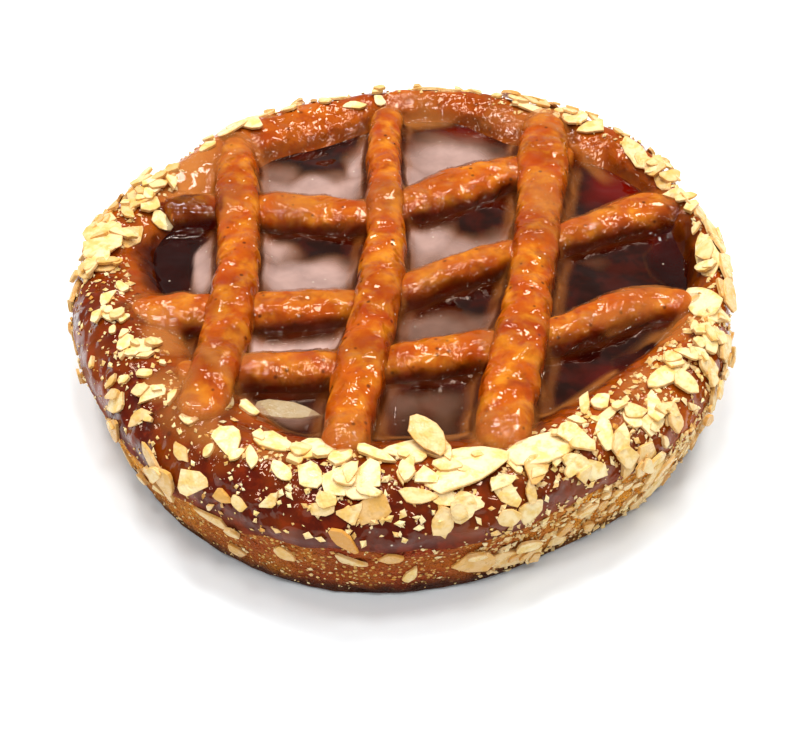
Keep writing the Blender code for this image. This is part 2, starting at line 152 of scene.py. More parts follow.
def ring_curve(knots: Knots, bearing: Array) -> Array:
    """Smooth closed curve through knots: cubic Hermite pieces with slopes from the neighbours.

    Args:
        knots: Bearing in degrees and value of each knot.
        bearing: Bearings in radians.

    Returns:
        The curve's value at each bearing.
    """
    angles = np.radians([knot[0] for knot in knots])
    values = np.array([knot[1] for knot in knots], dtype=float)
    angles = np.concatenate([angles[-2:] - TURN, angles, angles[:2] + TURN])
    values = np.concatenate([values[-2:], values, values[:2]])
    slopes = np.zeros_like(values)
    slopes[1:-1] = (values[2:] - values[:-2]) / (angles[2:] - angles[:-2])
    bearing = np.mod(np.asarray(bearing, dtype=float), TURN)
    i = np.clip(np.searchsorted(angles, bearing, side="right") - 1, 1, len(angles) - 3)
    span = angles[i + 1] - angles[i]
    t = (bearing - angles[i]) / span
    start = (2 * t ** 3 - 3 * t ** 2 + 1) * values[i] + (t ** 3 - 2 * t ** 2 + t) * span * slopes[i]
    end = (-2 * t ** 3 + 3 * t ** 2) * values[i + 1] + (t ** 3 - t ** 2) * span * slopes[i + 1]
    return start + end


def smooth_route(knots: Route, step: float) -> Array:
    """Stations on a Catmull-Rom curve through the knots.

    Args:
        knots: X, y and width at each knot.
        step: Rough distance between stations.

    Returns:
        One row of x, y and width for each station.
    """
    points = np.array(knots, dtype=float)
    padded = np.vstack([2 * points[0] - points[1], points, 2 * points[-1] - points[-2]])
    length = np.linalg.norm(np.diff(points[:, :2], axis=0), axis=1).sum()
    t = np.linspace(0, len(points) - 1 - 1e-9, max(int(length / step), 2) + 1)
    i = t.astype(int)
    f = (t - i)[:, None]
    a, b, c, d = padded[i], padded[i + 1], padded[i + 2], padded[i + 3]
    return 0.5 * (2 * b + (c - a) * f + (2 * a - 5 * b + 4 * c - d) * f ** 2
                  + (3 * b - a - 3 * c + d) * f ** 3)


def grid_faces(rows: int, columns: int, closed: bool) -> Array:
    """Four-sided faces between neighbouring points of a grid that is counted row by row.

    Args:
        rows: Number of rows.
        columns: Points in a row.
        closed: Whether the last point of a row joins the first.

    Returns:
        One row of four point numbers for each face.
    """
    wide = columns if closed else columns - 1
    row, column = np.meshgrid(np.arange(rows - 1), np.arange(wide), indexing="ij")
    here = row * columns + column
    right = row * columns + (column + 1) % columns
    return np.stack([here, right, right + columns, here + columns], axis=-1).reshape(-1, 4)


def fan_faces(ring_start: int, columns: int, centre: int, upwards: bool) -> Array:
    """Triangles from a closed ring of points to one centre point.

    Args:
        ring_start: Number of the ring's first point.
        columns: Points in the ring.
        centre: Number of the centre point.
        upwards: Whether a ring that turns with the bearing faces up.

    Returns:
        One row of three point numbers for each face.
    """
    here = ring_start + np.arange(columns)
    right = ring_start + (np.arange(columns) + 1) % columns
    middle = np.full(columns, centre)
    return np.stack([here, right, middle] if upwards else [right, here, middle], axis=-1)


def capped_grid(rows: int, columns: int, inverted: bool = False) -> tuple[Array, Array]:
    """Faces of a tube of closed rings, and of a fan to a centre point at each end.

    The two centre points come after the rings, first the one of the first ring.

    Args:
        rows: Number of rings.
        columns: Points in a ring.
        inverted: Whether the faces turn the other way.

    Returns:
        Four-sided faces and three-sided faces.
    """
    count = rows * columns
    quads = grid_faces(rows, columns, closed=True)
    caps = np.vstack([fan_faces(0, columns, count, upwards=inverted),
                      fan_faces(count - columns, columns, count + 1, upwards=not inverted)])
    return (quads[:, ::-1] if inverted else quads), caps


def ring_angles(count: int) -> Array:
    """Angles in radians of evenly spaced points on a ring."""
    return np.arange(count) * TURN / count


@dataclass(frozen=True)
class LumpField:
    """Soft random bumps in space: values at the corners of a lattice, blended by smooth steps."""

    seed: int
    size: float

    def __call__(self, points: Array) -> Array:
        """Bump height at each point.

        Args:
            points: Points in millimetres, with x, y and z last.

        Returns:
            Values from -1 to 1.
        """
        table = np.random.default_rng(self.seed).uniform(-1.0, 1.0, (32, 32, 32))
        scaled = np.asarray(points) / self.size + 200.0
        low = np.floor(scaled).astype(int)
        share = scaled - low
        share = share * share * (3.0 - 2.0 * share)
        total = np.zeros(scaled.shape[:-1])
        for corner in product((0, 1), repeat=3):
            weight = np.prod(np.where(np.array(corner) == 1, share, 1.0 - share), axis=-1)
            index = (low + np.array(corner)) % 32
            total += weight * table[index[..., 0], index[..., 1], index[..., 2]]
        return total


@dataclass(frozen=True)
class PieceMaker:
    """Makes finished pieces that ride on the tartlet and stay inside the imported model's box."""

    low: Array
    high: Array

    def moved_inside(self, grains: Array) -> Array:
        """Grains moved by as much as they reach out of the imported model's box.

        Args:
            grains: Points in millimetres, grain by grain.

        Returns:
            The points, each grain moved as a whole.
        """
        out = np.maximum(grains.max(axis=1) - self.high / MM, 0.0)
        back = np.maximum(self.low / MM - grains.min(axis=1), 0.0)
        return grains + (back - out)[:, None]

    def piece(self, name: str, points: Array, quads: Array, triangles: Array,
              material: bpy.types.Material, marks: dict[str, Array] | None = None) -> bpy.types.Object:
        """One smooth-shaded mesh at the origin with its place in its points.

        Args:
            name: Name of the piece.
            points: Points in millimetres.
            quads: Four-sided faces.
            triangles: Three-sided faces.
            material: Finish of the piece.
            marks: Values for each point, by the name under which the finish reads them.

        Returns:
            The object, which rides on the tartlet's one body.
        """
        mesh = bpy.data.meshes.new(name)
        places = np.clip(points.reshape(-1, 3) * MM, self.low, self.high)
        corners = np.concatenate([quads.ravel(), triangles.ravel()]).astype(np.int32)
        sizes = np.concatenate([np.full(len(quads), 4), np.full(len(triangles), 3)])
        mesh.vertices.add(len(places))
        mesh.vertices.foreach_set("co", places.astype(np.float32).ravel())
        mesh.loops.add(len(corners))
        mesh.loops.foreach_set("vertex_index", corners)
        mesh.polygons.add(len(sizes))
        starts = np.concatenate([[0], np.cumsum(sizes)[:-1]]).astype(np.int32)
        mesh.polygons.foreach_set("loop_start", starts)
        mesh.update(calc_edges=True)
        mesh.validate()
        mesh.shade_smooth()
        for mark, values in (marks or {}).items():
            layer = mesh.attributes.new(mark, "FLOAT", "POINT")
            layer.data.foreach_set("value", values.astype(np.float32).ravel())
        mesh.materials.append(material)
        made = bpy.data.objects.new(name, mesh)
        bpy.context.scene.collection.objects.link(made)
        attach(made, "root")
        LOG.info("%s: %d faces", name, len(sizes))
        return made


class NodeBench:
    """Adds and joins the nodes of one material or group."""

    def __init__(self, tree: bpy.types.NodeTree) -> None:
        """Keeps the tree that gets the nodes."""
        self.tree = tree

    def add(self, kind: str, values: dict | None = None, **settings) -> bpy.types.Node:
        """One new node.

        Args:
            kind: Node type without its ShaderNode prefix.
            values: Input values, by the input's name or number.
            **settings: Properties of the node.

        Returns:
            The node.
        """
        node = self.tree.nodes.new(kind if kind.startswith("NodeGroup") else "ShaderNode" + kind)
        for key, value in settings.items():
            setattr(node, key, value)
        for key, value in (values or {}).items():
            node.inputs[key].default_value = value
        return node

    def link(self, source: Socket, target: Socket) -> None:
        """Joins an output to an input."""
        self.tree.links.new(source, target)

    def group(self, made: bpy.types.NodeTree, vector: Socket,
              **values: Value) -> Socket:
        """A shared effect placed in this material.

        Args:
            made: The effect's node group.
            vector: Coordinates that it reads.
            **values: Its named inputs, each a value or a socket.

        Returns:
            The effect's one output.
        """
        node = self.add("Group", node_tree=made)
        self.link(vector, node.inputs["Vector"])
        for key, value in values.items():
            socket = node.inputs[key.title()]
            if isinstance(value, (int, float)):
                socket.default_value = value
            else:
                self.link(value, socket)
        return node.outputs[0]

    def mark(self, name: str) -> Socket:
        """Value that the piece's points carry under a name."""
        return self.add("Attribute", attribute_name=name, attribute_type="GEOMETRY").outputs["Fac"]

    def mix(self, mask: Socket, under: Colour, over: Colour, amount: float = 1.0) -> Socket:
        """Colour that turns from one to another with a mask.

        Args:
            mask: Share of the second colour.
            under: First colour, a socket or a linear colour.
            over: Second colour, a socket or a linear colour.
            amount: Share of the mask that counts.

        Returns:
            The mixed colour.
        """
        if amount < 1.0:
            mask = self.reckon("MULTIPLY", mask, amount)
        node = self.add("Mix", data_type="RGBA")
        self.link(mask, node.inputs["Factor"])
        for key, colour in (("A", under), ("B", over)):
            socket = next(s for s in node.inputs if s.name == key and s.type == "RGBA")
            if isinstance(colour, tuple):
                socket.default_value = (*colour, 1.0)
            else:
                self.link(colour, socket)
        return next(s for s in node.outputs if s.type == "RGBA")

    def reckon(self, operation: str, first: Value, second: Value) -> Socket:
        """Result of one sum on two values, held from 0 to 1.

        Args:
            operation: Name of the sum, such as MULTIPLY.
            first: First value or socket.
            second: Second value or socket.

        Returns:
            The result.
        """
        node = self.add("Math", operation=operation, use_clamp=True)
        for number, value in enumerate((first, second)):
            if isinstance(value, (int, float)):
                node.inputs[number].default_value = value
            else:
                self.link(value, node.inputs[number])
        return node.outputs[0]

    def ranged(self, value: Socket, low: float, high: float) -> Socket:
        """Value carried from 0 to 1 onto low to high."""
        node = self.add("MapRange", {"To Min": low, "To Max": high})
        self.link(value, node.inputs["Value"])
        return node.outputs["Result"]


Effect = tuple[bpy.types.NodeTree, NodeBench, bpy.types.Node, bpy.types.Node]


def effect_group(name: str, inputs: dict[str, float]) -> Effect:
    """Empty node group for an effect that several finishes use.

    Args:
        name: Name of the effect.
        inputs: Its value inputs and their usual values.

    Returns:
        The group, its bench, its input node and its output node.
    """
    tree = bpy.data.node_groups.new(name, "ShaderNodeTree")
    tree.interface.new_socket("Vector", in_out="INPUT", socket_type="NodeSocketVector")
    for key, value in inputs.items():
        socket = tree.interface.new_socket(key, in_out="INPUT", socket_type="NodeSocketFloat")
        socket.default_value = value
    tree.interface.new_socket("Value", in_out="OUTPUT", socket_type="NodeSocketFloat")
    bench = NodeBench(tree)
    return tree, bench, bench.add("NodeGroupInput"), bench.add("NodeGroupOutput")


def per_length(bench: NodeBench, size: Socket) -> Socket:
    """Noise scale for a pattern size in millimetres: a thousand over the size."""
    node = bench.add("Math", {0: 1.0 / MM}, operation="DIVIDE")
    bench.link(size, node.inputs[1])
    return node.outputs[0]


def mottle_group() -> bpy.types.NodeTree:
    """Soft uneven patches: noise of a given size, stretched between two levels."""
    if "Mottle" in bpy.data.node_groups:
        return bpy.data.node_groups["Mottle"]
    tree, bench, start, end = effect_group("Mottle", {"Size": 5.0, "Low": 0.4, "High": 0.6})
    noise = bench.add("TexNoise", {"Detail": 3.0, "Roughness": 0.55, "Distortion": 0.3})
    bench.link(start.outputs["Vector"], noise.inputs["Vector"])
    bench.link(per_length(bench, start.outputs["Size"]), noise.inputs["Scale"])
    step = bench.add("MapRange", interpolation_type="SMOOTHSTEP")
    bench.link(noise.outputs["Fac"], step.inputs["Value"])
    bench.link(start.outputs["Low"], step.inputs["From Min"])
    bench.link(start.outputs["High"], step.inputs["From Max"])
    bench.link(step.outputs["Result"], end.inputs["Value"])
    return tree


def speck_group() -> bpy.types.NodeTree:
    """Small round specks: cells of a given size, with a spot in those that a second noise picks."""
    if "Specks" in bpy.data.node_groups:
        return bpy.data.node_groups["Specks"]
    tree, bench, start, end = effect_group("Specks", {"Size": 1.5, "Spot": 0.3, "Rarity": 0.5})
    cells = bench.add("TexVoronoi", {"Randomness": 1.0})
    bench.link(start.outputs["Vector"], cells.inputs["Vector"])
    bench.link(per_length(bench, start.outputs["Size"]), cells.inputs["Scale"])
    inside = bench.add("Math", operation="SUBTRACT")
    bench.link(start.outputs["Spot"], inside.inputs[0])
    bench.link(cells.outputs["Distance"], inside.inputs[1])
    spot = bench.add("Math", {1: 9.0}, operation="MULTIPLY", use_clamp=True)
    bench.link(inside.outputs[0], spot.inputs[0])
    split = bench.add("SeparateColor")
    bench.link(cells.outputs["Color"], split.inputs["Color"])
    picked = bench.add("Math", operation="GREATER_THAN")
    bench.link(split.outputs["Red"], picked.inputs[0])
    bench.link(start.outputs["Rarity"], picked.inputs[1])
    bench.link(bench.reckon("MULTIPLY", spot.outputs[0], picked.outputs[0]), end.inputs["Value"])
    return tree


def ripple_group() -> bpy.types.NodeTree:
    """Height of small uneven waves: noise of a given size with a share of a finer noise on top."""
    if "Ripple" in bpy.data.node_groups:
        return bpy.data.node_groups["Ripple"]
    tree, bench, start, end = effect_group("Ripple", {"Size": 2.0, "Fine": 0.35})
    scale = per_length(bench, start.outputs["Size"])
    broad = bench.add("TexNoise", {"Detail": 0.0})
    fine = bench.add("TexNoise", {"Detail": 0.0})
    finer = bench.add("Math", {1: FINER}, operation="MULTIPLY")
    bench.link(scale, finer.inputs[0])
    for noise, density in ((broad, scale), (fine, finer.outputs[0])):
        bench.link(start.outputs["Vector"], noise.inputs["Vector"])
        bench.link(density, noise.inputs["Scale"])
    share = bench.add("Math", operation="MULTIPLY")
    bench.link(fine.outputs["Fac"], share.inputs[0])
    bench.link(start.outputs["Fine"], share.inputs[1])
    total = bench.add("Math", operation="ADD")
    bench.link(broad.outputs["Fac"], total.inputs[0])
    bench.link(share.outputs[0], total.inputs[1])
    bench.link(total.outputs[0], end.inputs["Value"])
    return tree


@dataclass(frozen=True)
class Coat:
    """A material in the making: its bench, its main shader and the coordinates its patterns read."""

    made: bpy.types.Material
    bench: NodeBench
    shader: bpy.types.Node
    place: Socket

    def mottle(self, size: float, low: float, high: float) -> Socket:
        """Soft uneven patches of a size in millimetres, between two levels of their noise."""
        return self.bench.group(mottle_group(), self.place, size=size, low=low, high=high)

    def specks(self, size: float, spot: float, rarity: float) -> Socket:
        """Round specks in cells of a size in millimetres."""
        return self.bench.group(speck_group(), self.place, size=size, spot=spot, rarity=rarity)

    def ripple(self, size: float, fine: Value) -> Socket:
        """Height of uneven waves of a size in millimetres, with a share of finer ones."""
        return self.bench.group(ripple_group(), self.place, size=size, fine=fine)

    def bubbly(self) -> Socket:
        """Patches where the clear glaze is bubbly: they carry painted glints, pale specks in the colour,
        and finer waves.
        """
        return self.mottle(5.0, 0.46, 0.62)

    def layered(self, colour: Colour, layers: tuple[tuple[Socket, Rgb, float], ...]) -> Socket:
        """Colour with one layer after another mixed over it.

        Args:
            colour: Colour at the bottom.
            layers: Mask, colour and share of the mask that counts, for each layer.

        Returns:
            The colour on top.
        """
        for mask, over, amount in layers:
            colour = self.bench.mix(mask, colour, over, amount)
        return colour

    def with_painted_glints(self, colour: Colour, bubbly: Socket) -> Socket:
        """Colour with painted glints: pale specks in the bubbly patches."""
        glint_specks = self.bench.reckon("MULTIPLY", self.specks(1.5, 0.17, 0.6), bubbly)
        return self.bench.mix(glint_specks, colour, PAINTED_GLINT, 0.85)

    def finish(self, colour: Socket, rough: Socket | None, relief: Socket,
               depth: float) -> bpy.types.Material:
        """Joins the results to the main shader.

        Args:
            colour: Colour of the surface.
            rough: Roughness, or None where one value holds all over.
            relief: Height of the fine relief.
            depth: Millimetres for a height of one.

        Returns:
            The material.
        """
        self.bench.link(colour, self.shader.inputs["Base Color"])
        if rough is not None:
            self.bench.link(rough, self.shader.inputs["Roughness"])
        bump = self.bench.add("Bump", {"Strength": 1.0, "Distance": depth * MM})
        self.bench.link(relief, bump.inputs["Height"])
        self.bench.link(bump.outputs["Normal"], self.shader.inputs["Normal"])
        return self.made


@dataclass(frozen=True)
class Finish:
    """Base of the finishes: a named material with one main shader."""

    name: str

    def start(self, **values: float | tuple[float, ...]) -> Coat:
        """New material with the values that are the same all over it.

        Args:
            **values: Values of the main shader, with underscores for spaces.

        Returns:
            The coat that the finish goes on with.
        """
        made = bpy.data.materials.new(self.name)
        made.use_nodes = True
        bench = NodeBench(made.node_tree)
        shader = made.node_tree.nodes["Principled BSDF"]
        for key, value in values.items():
            shader.inputs[key.replace("_", " ")].default_value = value
        return Coat(made, bench, shader, bench.add("TexCoord").outputs["Object"])


@dataclass(frozen=True)
class CrustFinish(Finish):
    """Brown glazed rim, burnt in places, with bubbly patches of painted glints, over a sandy, crumbly side.
    """

    name: str = "glazed_crust_finish"
    amber: Rgb = shown(192, 94, 17)
    mahogany: Rgb = shown(84, 20, 3)
    russet: Rgb = shown(138, 44, 7)
    sand: Rgb = shown(255, 168, 52)
    toasted: Rgb = shown(154, 54, 7)
    foot: Rgb = shown(60, 20, 5)
    grain: Rgb = shown(250, 200, 108)
    speck: Rgb = shown(52, 16, 4)
    bare_roughness: float = 0.88
    glazed_roughness: float = 0.04

    def rim_colour(self, coat: Coat, bubbly: Socket) -> Socket:
        """Colour of the glazed rim: amber to mahogany with the bake mark, blotched and specked, with
        painted glints.

        Args:
            coat: Material in the making.
            bubbly: Patches that carry sugar specks.

        Returns:
            The rim's colour.
        """
        bake = coat.bench.mark("bake")
        pale = coat.bench.reckon("SUBTRACT", 1.0, bake)
        patches = coat.bench.reckon("MULTIPLY", coat.mottle(7.0, 0.36, 0.66), pale)
        burnt = coat.bench.reckon("MULTIPLY", coat.mottle(5.0, 0.50, 0.70), bake)
        rim = coat.layered(self.amber, (
            (bake, self.mahogany, 1.0),
            (patches, self.russet, 0.6),
            (coat.mottle(2.4, 0.48, 0.66), self.russet, 0.5),
            (burnt, self.mahogany, 0.8),
            (coat.specks(2.6, 0.22, 0.72), self.speck, 0.55)))
        return coat.with_painted_glints(rim, bubbly)

    def side_colour(self, coat: Coat) -> Socket:
        """Colour of the bare side: sand, toasted and dark towards the foot, partly painted shade at the
        front, with grains and pits.

        Args:
            coat: Material in the making.

        Returns:
            The side's colour.
        """
        low = coat.bench.mark("low")
        grains = coat.bench.reckon("SUBTRACT", coat.specks(1.0, 0.36, 0.30), low)
        return coat.layered(self.sand, (
            # Toast mark: toasting, with painted shade on the front.
            (coat.bench.mark("toast"), self.toasted, 1.0),
            (coat.mottle(3.2, 0.40, 0.62), self.toasted, 0.35),
            # Darker foot: a darker baked edge, with painted shade most at the front.
            (low, self.foot, 1.0),
            (grains, self.grain, 0.75),
            (coat.specks(1.7, 0.25, 0.7), self.speck, 0.6)))

    def material(self) -> bpy.types.Material:
        """Material that reads the points' bake, glazed, toast, low and gloss marks."""
        coat = self.start(Specular_IOR_Level=GLAZE_SHINE, Specular_Tint=GLAZE_TINT)
        bench = coat.bench
        bubbly = coat.bubbly()
        glazed = bench.mark("glazed")
        colour = bench.mix(glazed, self.side_colour(coat), self.rim_colour(coat, bubbly))
        gloss = bench.ranged(bench.mark("gloss"), self.bare_roughness, self.glazed_roughness)
        rough = bench.reckon("ADD", gloss, bench.ranged(coat.mottle(3.0, 0.35, 0.65), 0.0, 0.06))
        relief = bench.add("Mix", data_type="FLOAT")
        bench.link(glazed, relief.inputs["Factor"])
        bench.link(coat.ripple(0.9, 0.8), relief.inputs[2])
        bench.link(coat.ripple(2.8, bench.ranged(bubbly, 0.05, 0.28)), relief.inputs[3])
        return coat.finish(colour, rough, relief.outputs[0], 1.15)


@dataclass(frozen=True)
class StripFinish(Finish):
    """Baked strip under clear glaze: orange and yellow tops, redder flanks with painted shade, scorches,
    specks and painted glints.
    """

    name: str = "glazed_strip_finish"
    orange: Rgb = shown(180, 82, 11)
    yellow: Rgb = shown(226, 146, 38)
    rust: Rgb = shown(156, 48, 6)
    scorch: Rgb = shown(120, 42, 6)
    flank_shade: Rgb = shown(98, 18, 3)
    speck: Rgb = shown(52, 16, 4)

    def material(self) -> bpy.types.Material:
        """Material that reads the points' mark of painted flank shade."""
        coat = self.start(Specular_IOR_Level=GLAZE_SHINE, Specular_Tint=GLAZE_TINT)
        bubbly = coat.bubbly()
        colour = coat.layered(self.orange, (
            (coat.mottle(6.0, 0.40, 0.72), self.rust, 0.65),
            (coat.mottle(4.2, 0.40, 0.74), self.yellow, 0.65),
            (coat.mottle(2.2, 0.46, 0.74), self.rust, 0.35),
            (coat.mottle(4.4, 0.54, 0.78), self.scorch, 0.65),
            # Painted shade on the flanks and round the crossings.
            (coat.bench.mark("flank_shade"), self.flank_shade, 1.0),
            (coat.specks(1.9, 0.24, 0.74), self.speck, 0.7)))
        rough = coat.bench.ranged(coat.mottle(3.0, 0.35, 0.65), 0.03, 0.09)
        ripple = coat.ripple(2.6, coat.bench.ranged(bubbly, 0.04, 0.28))
        return coat.finish(coat.with_painted_glints(colour, bubbly), rough, ripple, 1.05)


@dataclass(frozen=True)
class JamFinish(Finish):
    """Dark wet jam, red where light gets through it and caramel beside the dough."""

    name: str = "red_jam_finish"
    dark: Rgb = shown(30, 5, 2)
    brown: Rgb = shown(54, 13, 4)
    red: Rgb = shown(94, 9, 3)
    caramel: Rgb = shown(116, 44, 10)

    def material(self) -> bpy.types.Material:
        """Material that reads the points' red and near_dough marks."""
        coat = self.start(Specular_IOR_Level=GLAZE_SHINE, Specular_Tint=GLAZE_TINT)
        colour = coat.layered(self.dark, (
            (coat.mottle(4.5, 0.40, 0.66), self.brown, 1.0),
            (coat.bench.mark("red"), self.red, 1.0),
            (coat.bench.mark("near_dough"), self.caramel, 0.30)))
        rough = coat.bench.ranged(coat.mottle(3.0, 0.35, 0.65), 0.03, 0.08)
        return coat.finish(colour, rough, coat.ripple(4.0, 0.16), 0.5)


@dataclass(frozen=True)
class GlazeFinish(Finish):
    """Sugar glaze: milky in the pockets, caramel over the dough, dark syrup in stains and painted shade in
    front of strips, on slopes facing the viewer and low on the jam, with painted glints.
    """

    name: str = "sugar_glaze_finish"
    milk: Rgb = shown(202, 166, 154)
    caramel: Rgb = shown(200, 122, 58)
    shade_and_syrup_colour: Rgb = shown(42, 9, 3)

    def material(self) -> bpy.types.Material:
        """Material that reads the points' cover, warm, and painted shade and syrup marks."""
        coat = self.start(Roughness=0.05, Specular_IOR_Level=GLAZE_SHINE, Specular_Tint=MILK_TINT)
        bench = coat.bench
        colour = coat.layered(self.milk, (
            (bench.mark("warm"), self.caramel, 1.0),
            # Painted shade, and dark syrup in the stains.
            (bench.mark("shade_and_syrup"), self.shade_and_syrup_colour, 1.0),
            # Pale specks: painted glints.
            (coat.specks(2.0, 0.13, 0.62), PAINTED_GLINT, 0.8)))
        curds = bench.ranged(coat.mottle(5.0, 0.20, 0.80), 0.70, 1.0)
        bench.link(bench.reckon("MULTIPLY", bench.mark("cover"), curds), coat.shader.inputs["Alpha"])
        return coat.finish(colour, None, coat.ripple(3.4, 0.14), 0.5)


@dataclass(frozen=True)
class AlmondFinish(Finish):
    """Pale almond with toasted places and edges, darker where it is soaked with jam."""

    name: str = "almond_finish"
    pale: Rgb = shown(250, 230, 176)
    cream: Rgb = shown(236, 200, 118)
    soaked: Rgb = shown(150, 126, 96)
    toasted: Rgb = shown(212, 144, 56)

    def material(self) -> bpy.types.Material:
        """Material that reads the points' tone, edge and soaked marks."""
        coat = self.start(Specular_IOR_Level=0.3)
        colour = coat.layered(self.pale, (
            (coat.mottle(2.0, 0.40, 0.66), self.cream, 1.0),
            (coat.bench.mark("tone"), self.toasted, 1.0),
            (coat.bench.mark("edge"), self.toasted, 0.5),
            (coat.bench.mark("soaked"), self.soaked, 0.85)))
        rough = coat.bench.ranged(coat.mottle(2.4, 0.4, 0.6), 0.24, 0.5)
        return coat.finish(colour, rough, coat.ripple(1.0, 0.5), 0.2)


@dataclass(frozen=True)
class CrustShape:
    """Form of the crust: outline, rim section and the relief on them."""

    outline: Knots = (
        (0, 58.6), (20, 58.6), (42, 62.0), (62, 61.2), (82, 58.6), (105, 57.2), (125, 58.2),
        (145, 56.4), (165, 60.0), (185, 60.2), (210, 59.0), (235, 60.2), (258, 60.6), (280, 58.8),
        (300, 57.2), (320, 58.8), (340, 59.2))
    inner_edge: Knots = (
        (0, 52), (15, 53), (38, 52), (50, 49), (66, 47.5), (80, 50.5), (92, 48.5), (105, 45), (130, 44),
        (160, 45), (172, 47.5), (190, 44), (212, 42.5), (232, 42), (246, 44), (262, 41.5), (278, 41.5),
        (300, 43), (316, 43), (330, 45.5), (348, 50.5))
    rim_min_width: float = 6.0
    jam_line: float = 18.9
    widest_height: float = 16.8
    lump_waves: tuple[tuple[int, float, float], ...] = ((3, 1.0, 0.40), (7, 2.2, 0.30), (11, 0.4, 0.20))
    section: tuple[tuple[float, float, float, float, float], ...] = (
        (0.950, 0, 0, 0, 0), (0.965, 0, 0, 0.9, 0), (0.976, 0, 0, 5.0, 0), (0.987, 0, 0, 9.5, 0),
        (0.992, 0, 0, 11.6, 0), (0.999, 0, 0, 13.2, 0), (1, 0, 0, 16.8, 0), (1, 0.07, 0, 19.3, 0.2),
        (1, 0.20, 0, 21.6, 0.6), (1, 0.42, 0, 22.8, 1), (1, 0.64, 0, 22.2, 0.8), (1, 0.84, 0, 20.9, 0.4),
        (1, 1, 0, 18.9, 0), (1, 1, 1.4, 16.4, 0), (1, 1, 2.4, 13.6, 0), (1, 1, 4.2, 13.0, 0))
    first_rim_row: int = 6
    edge_row: int = 12
    glaze_line: Knots = (
        (0, 12.8), (60, 12.0), (120, 12.0), (180, 12.2), (225, 12.8), (255, 14.2), (285, 14.8),
        (315, 14.6), (340, 13.6))

    def rows_at(self, share: Array) -> Array:
        """Row of the section for a share: -1 at the foot, 0 at the widest line, 1 at the inner edge."""
        rows = np.array(self.section[:self.edge_row + 1])
        shares = rows[:, 1].copy()
        shares[:self.first_rim_row] = rows[:self.first_rim_row, 3] / self.widest_height - 1.0
        return np.interp(share, shares, np.arange(self.edge_row + 1))

    def section_at(self, bearing: Array, row: Array) -> tuple[Array, Array]:
        """Radius and height on the Catmull-Rom curve through the section's rows.

        Args:
            bearing: Bearings in radians.
            row: Place along the section, counted in rows, of the same shape.

        Returns:
            Radius and height in millimetres.
        """
        rows = np.array(self.section)
        outline = ring_curve(self.outline, bearing)
        width = np.maximum(outline - ring_curve(self.inner_edge, bearing), self.rim_min_width)
        lump = sum(size * np.sin(count * bearing + phase) for count, phase, size in self.lump_waves)
        i = np.clip(np.floor(row).astype(int), 0, len(rows) - 2)
        f = row - i
        weights = (-0.5 * f + f ** 2 - 0.5 * f ** 3, 1 - 2.5 * f ** 2 + 1.5 * f ** 3,
                   0.5 * f + 2 * f ** 2 - 1.5 * f ** 3, -0.5 * f ** 2 + 0.5 * f ** 3)
        radius = np.zeros_like(f)
        height = np.zeros_like(f)
        for offset, weight in enumerate(weights):
            knot = rows[np.clip(i + offset - 1, 0, len(rows) - 1)]
            radius += weight * (outline * knot[..., 0] - width * knot[..., 1] - knot[..., 2])
            height += weight * (knot[..., 3] + lump * knot[..., 4])
        return radius, height

    def glazed_share(self, points: Array) -> Array:
        """1 where glaze covers the crust, 0 on the bare side, with a wavy border."""
        wave = LumpField(31, 9.0)(points * (1.0, 1.0, 0.0)) * 1.4 + LumpField(32, 2.5)(points) * 0.5
        line = ring_curve(self.glaze_line, np.arctan2(points[..., 1], points[..., 0]))
        return smoothstep(points[..., 2] - line - wave, -0.35, 0.35)

    def film_relief(self, points: Array) -> Array:
        """Thickness of the uneven film of glaze over the section at each point."""
        return (0.34 * LumpField(11, 8.0)(points) + 0.20 * LumpField(12, 3.6)(points)
                + 0.07 * LumpField(13, 1.7)(points) + 0.10)

    def surface(self, bearing: Array, row: Array) -> tuple[Array, Array, Array]:
        """Points on the crust with their relief.

        The relief pushes each point along the section's outward normal: broad
        lumps and a film of glaze above the wavy border, crumbs and a ragged foot
        below it.

        Args:
            bearing: Bearings in radians.
            row: Place along the section, counted in rows, of the same shape.

        Returns:
            Points, outward normals and the glazed share.
        """
        radius, height = self.section_at(bearing, row)
        near, near_height = self.section_at(bearing, row - 0.05)
        far, far_height = self.section_at(bearing, row + 0.05)
        along_r, along_z = far - near, far_height - near_height
        length = np.maximum(np.hypot(along_r, along_z), 1e-9)
        out, up = along_z / length, -along_r / length
        direction = np.stack([np.cos(bearing), np.sin(bearing)], axis=-1)
        points = np.concatenate([radius[..., None] * direction, height[..., None]], axis=-1)
        normal = np.concatenate([out[..., None] * direction, up[..., None]], axis=-1)
        glazed = self.glazed_share(points)
        soft = self.film_relief(points)
        crumbly = 0.26 * LumpField(14, 2.3)(points) + 0.20 * LumpField(15, 1.1)(points) - 0.12
        ragged = 0.9 * smoothstep(-LumpField(16, 3.4)(points), -0.1, 0.9) * smoothstep(-height, -3.2, -0.4)
        push = glazed * soft + (1.0 - glazed) * (crumbly - ragged)
        push = push * smoothstep(height, 0.0, 1.2) * smoothstep(-row, -14.0, -12.2)
        return points + push[..., None] * normal, normal, glazed

    def height_at(self, x: Array, y: Array) -> Array:
        """Height of the rim's top and inner slope over a place, falling steeply past the inner edge.

        Args:
            x: Places across.
            y: Places away from the viewer.

        Returns:
            Height in millimetres.
        """
        bearing = np.arctan2(y, x)
        outline = ring_curve(self.outline, bearing)
        width = np.maximum(outline - ring_curve(self.inner_edge, bearing), self.rim_min_width)
        share = (outline - np.hypot(x, y)) / width
        row = self.rows_at(np.clip(share, 0.0, 1.0))
        height = self.section_at(bearing, row)[1]
        film = self.film_relief(np.stack([x, y, height], axis=-1))
        height = height + film * smoothstep(-share, -1.2, -0.9)
        return height - 2.2 * np.maximum(share - 1.0, 0.0) * width


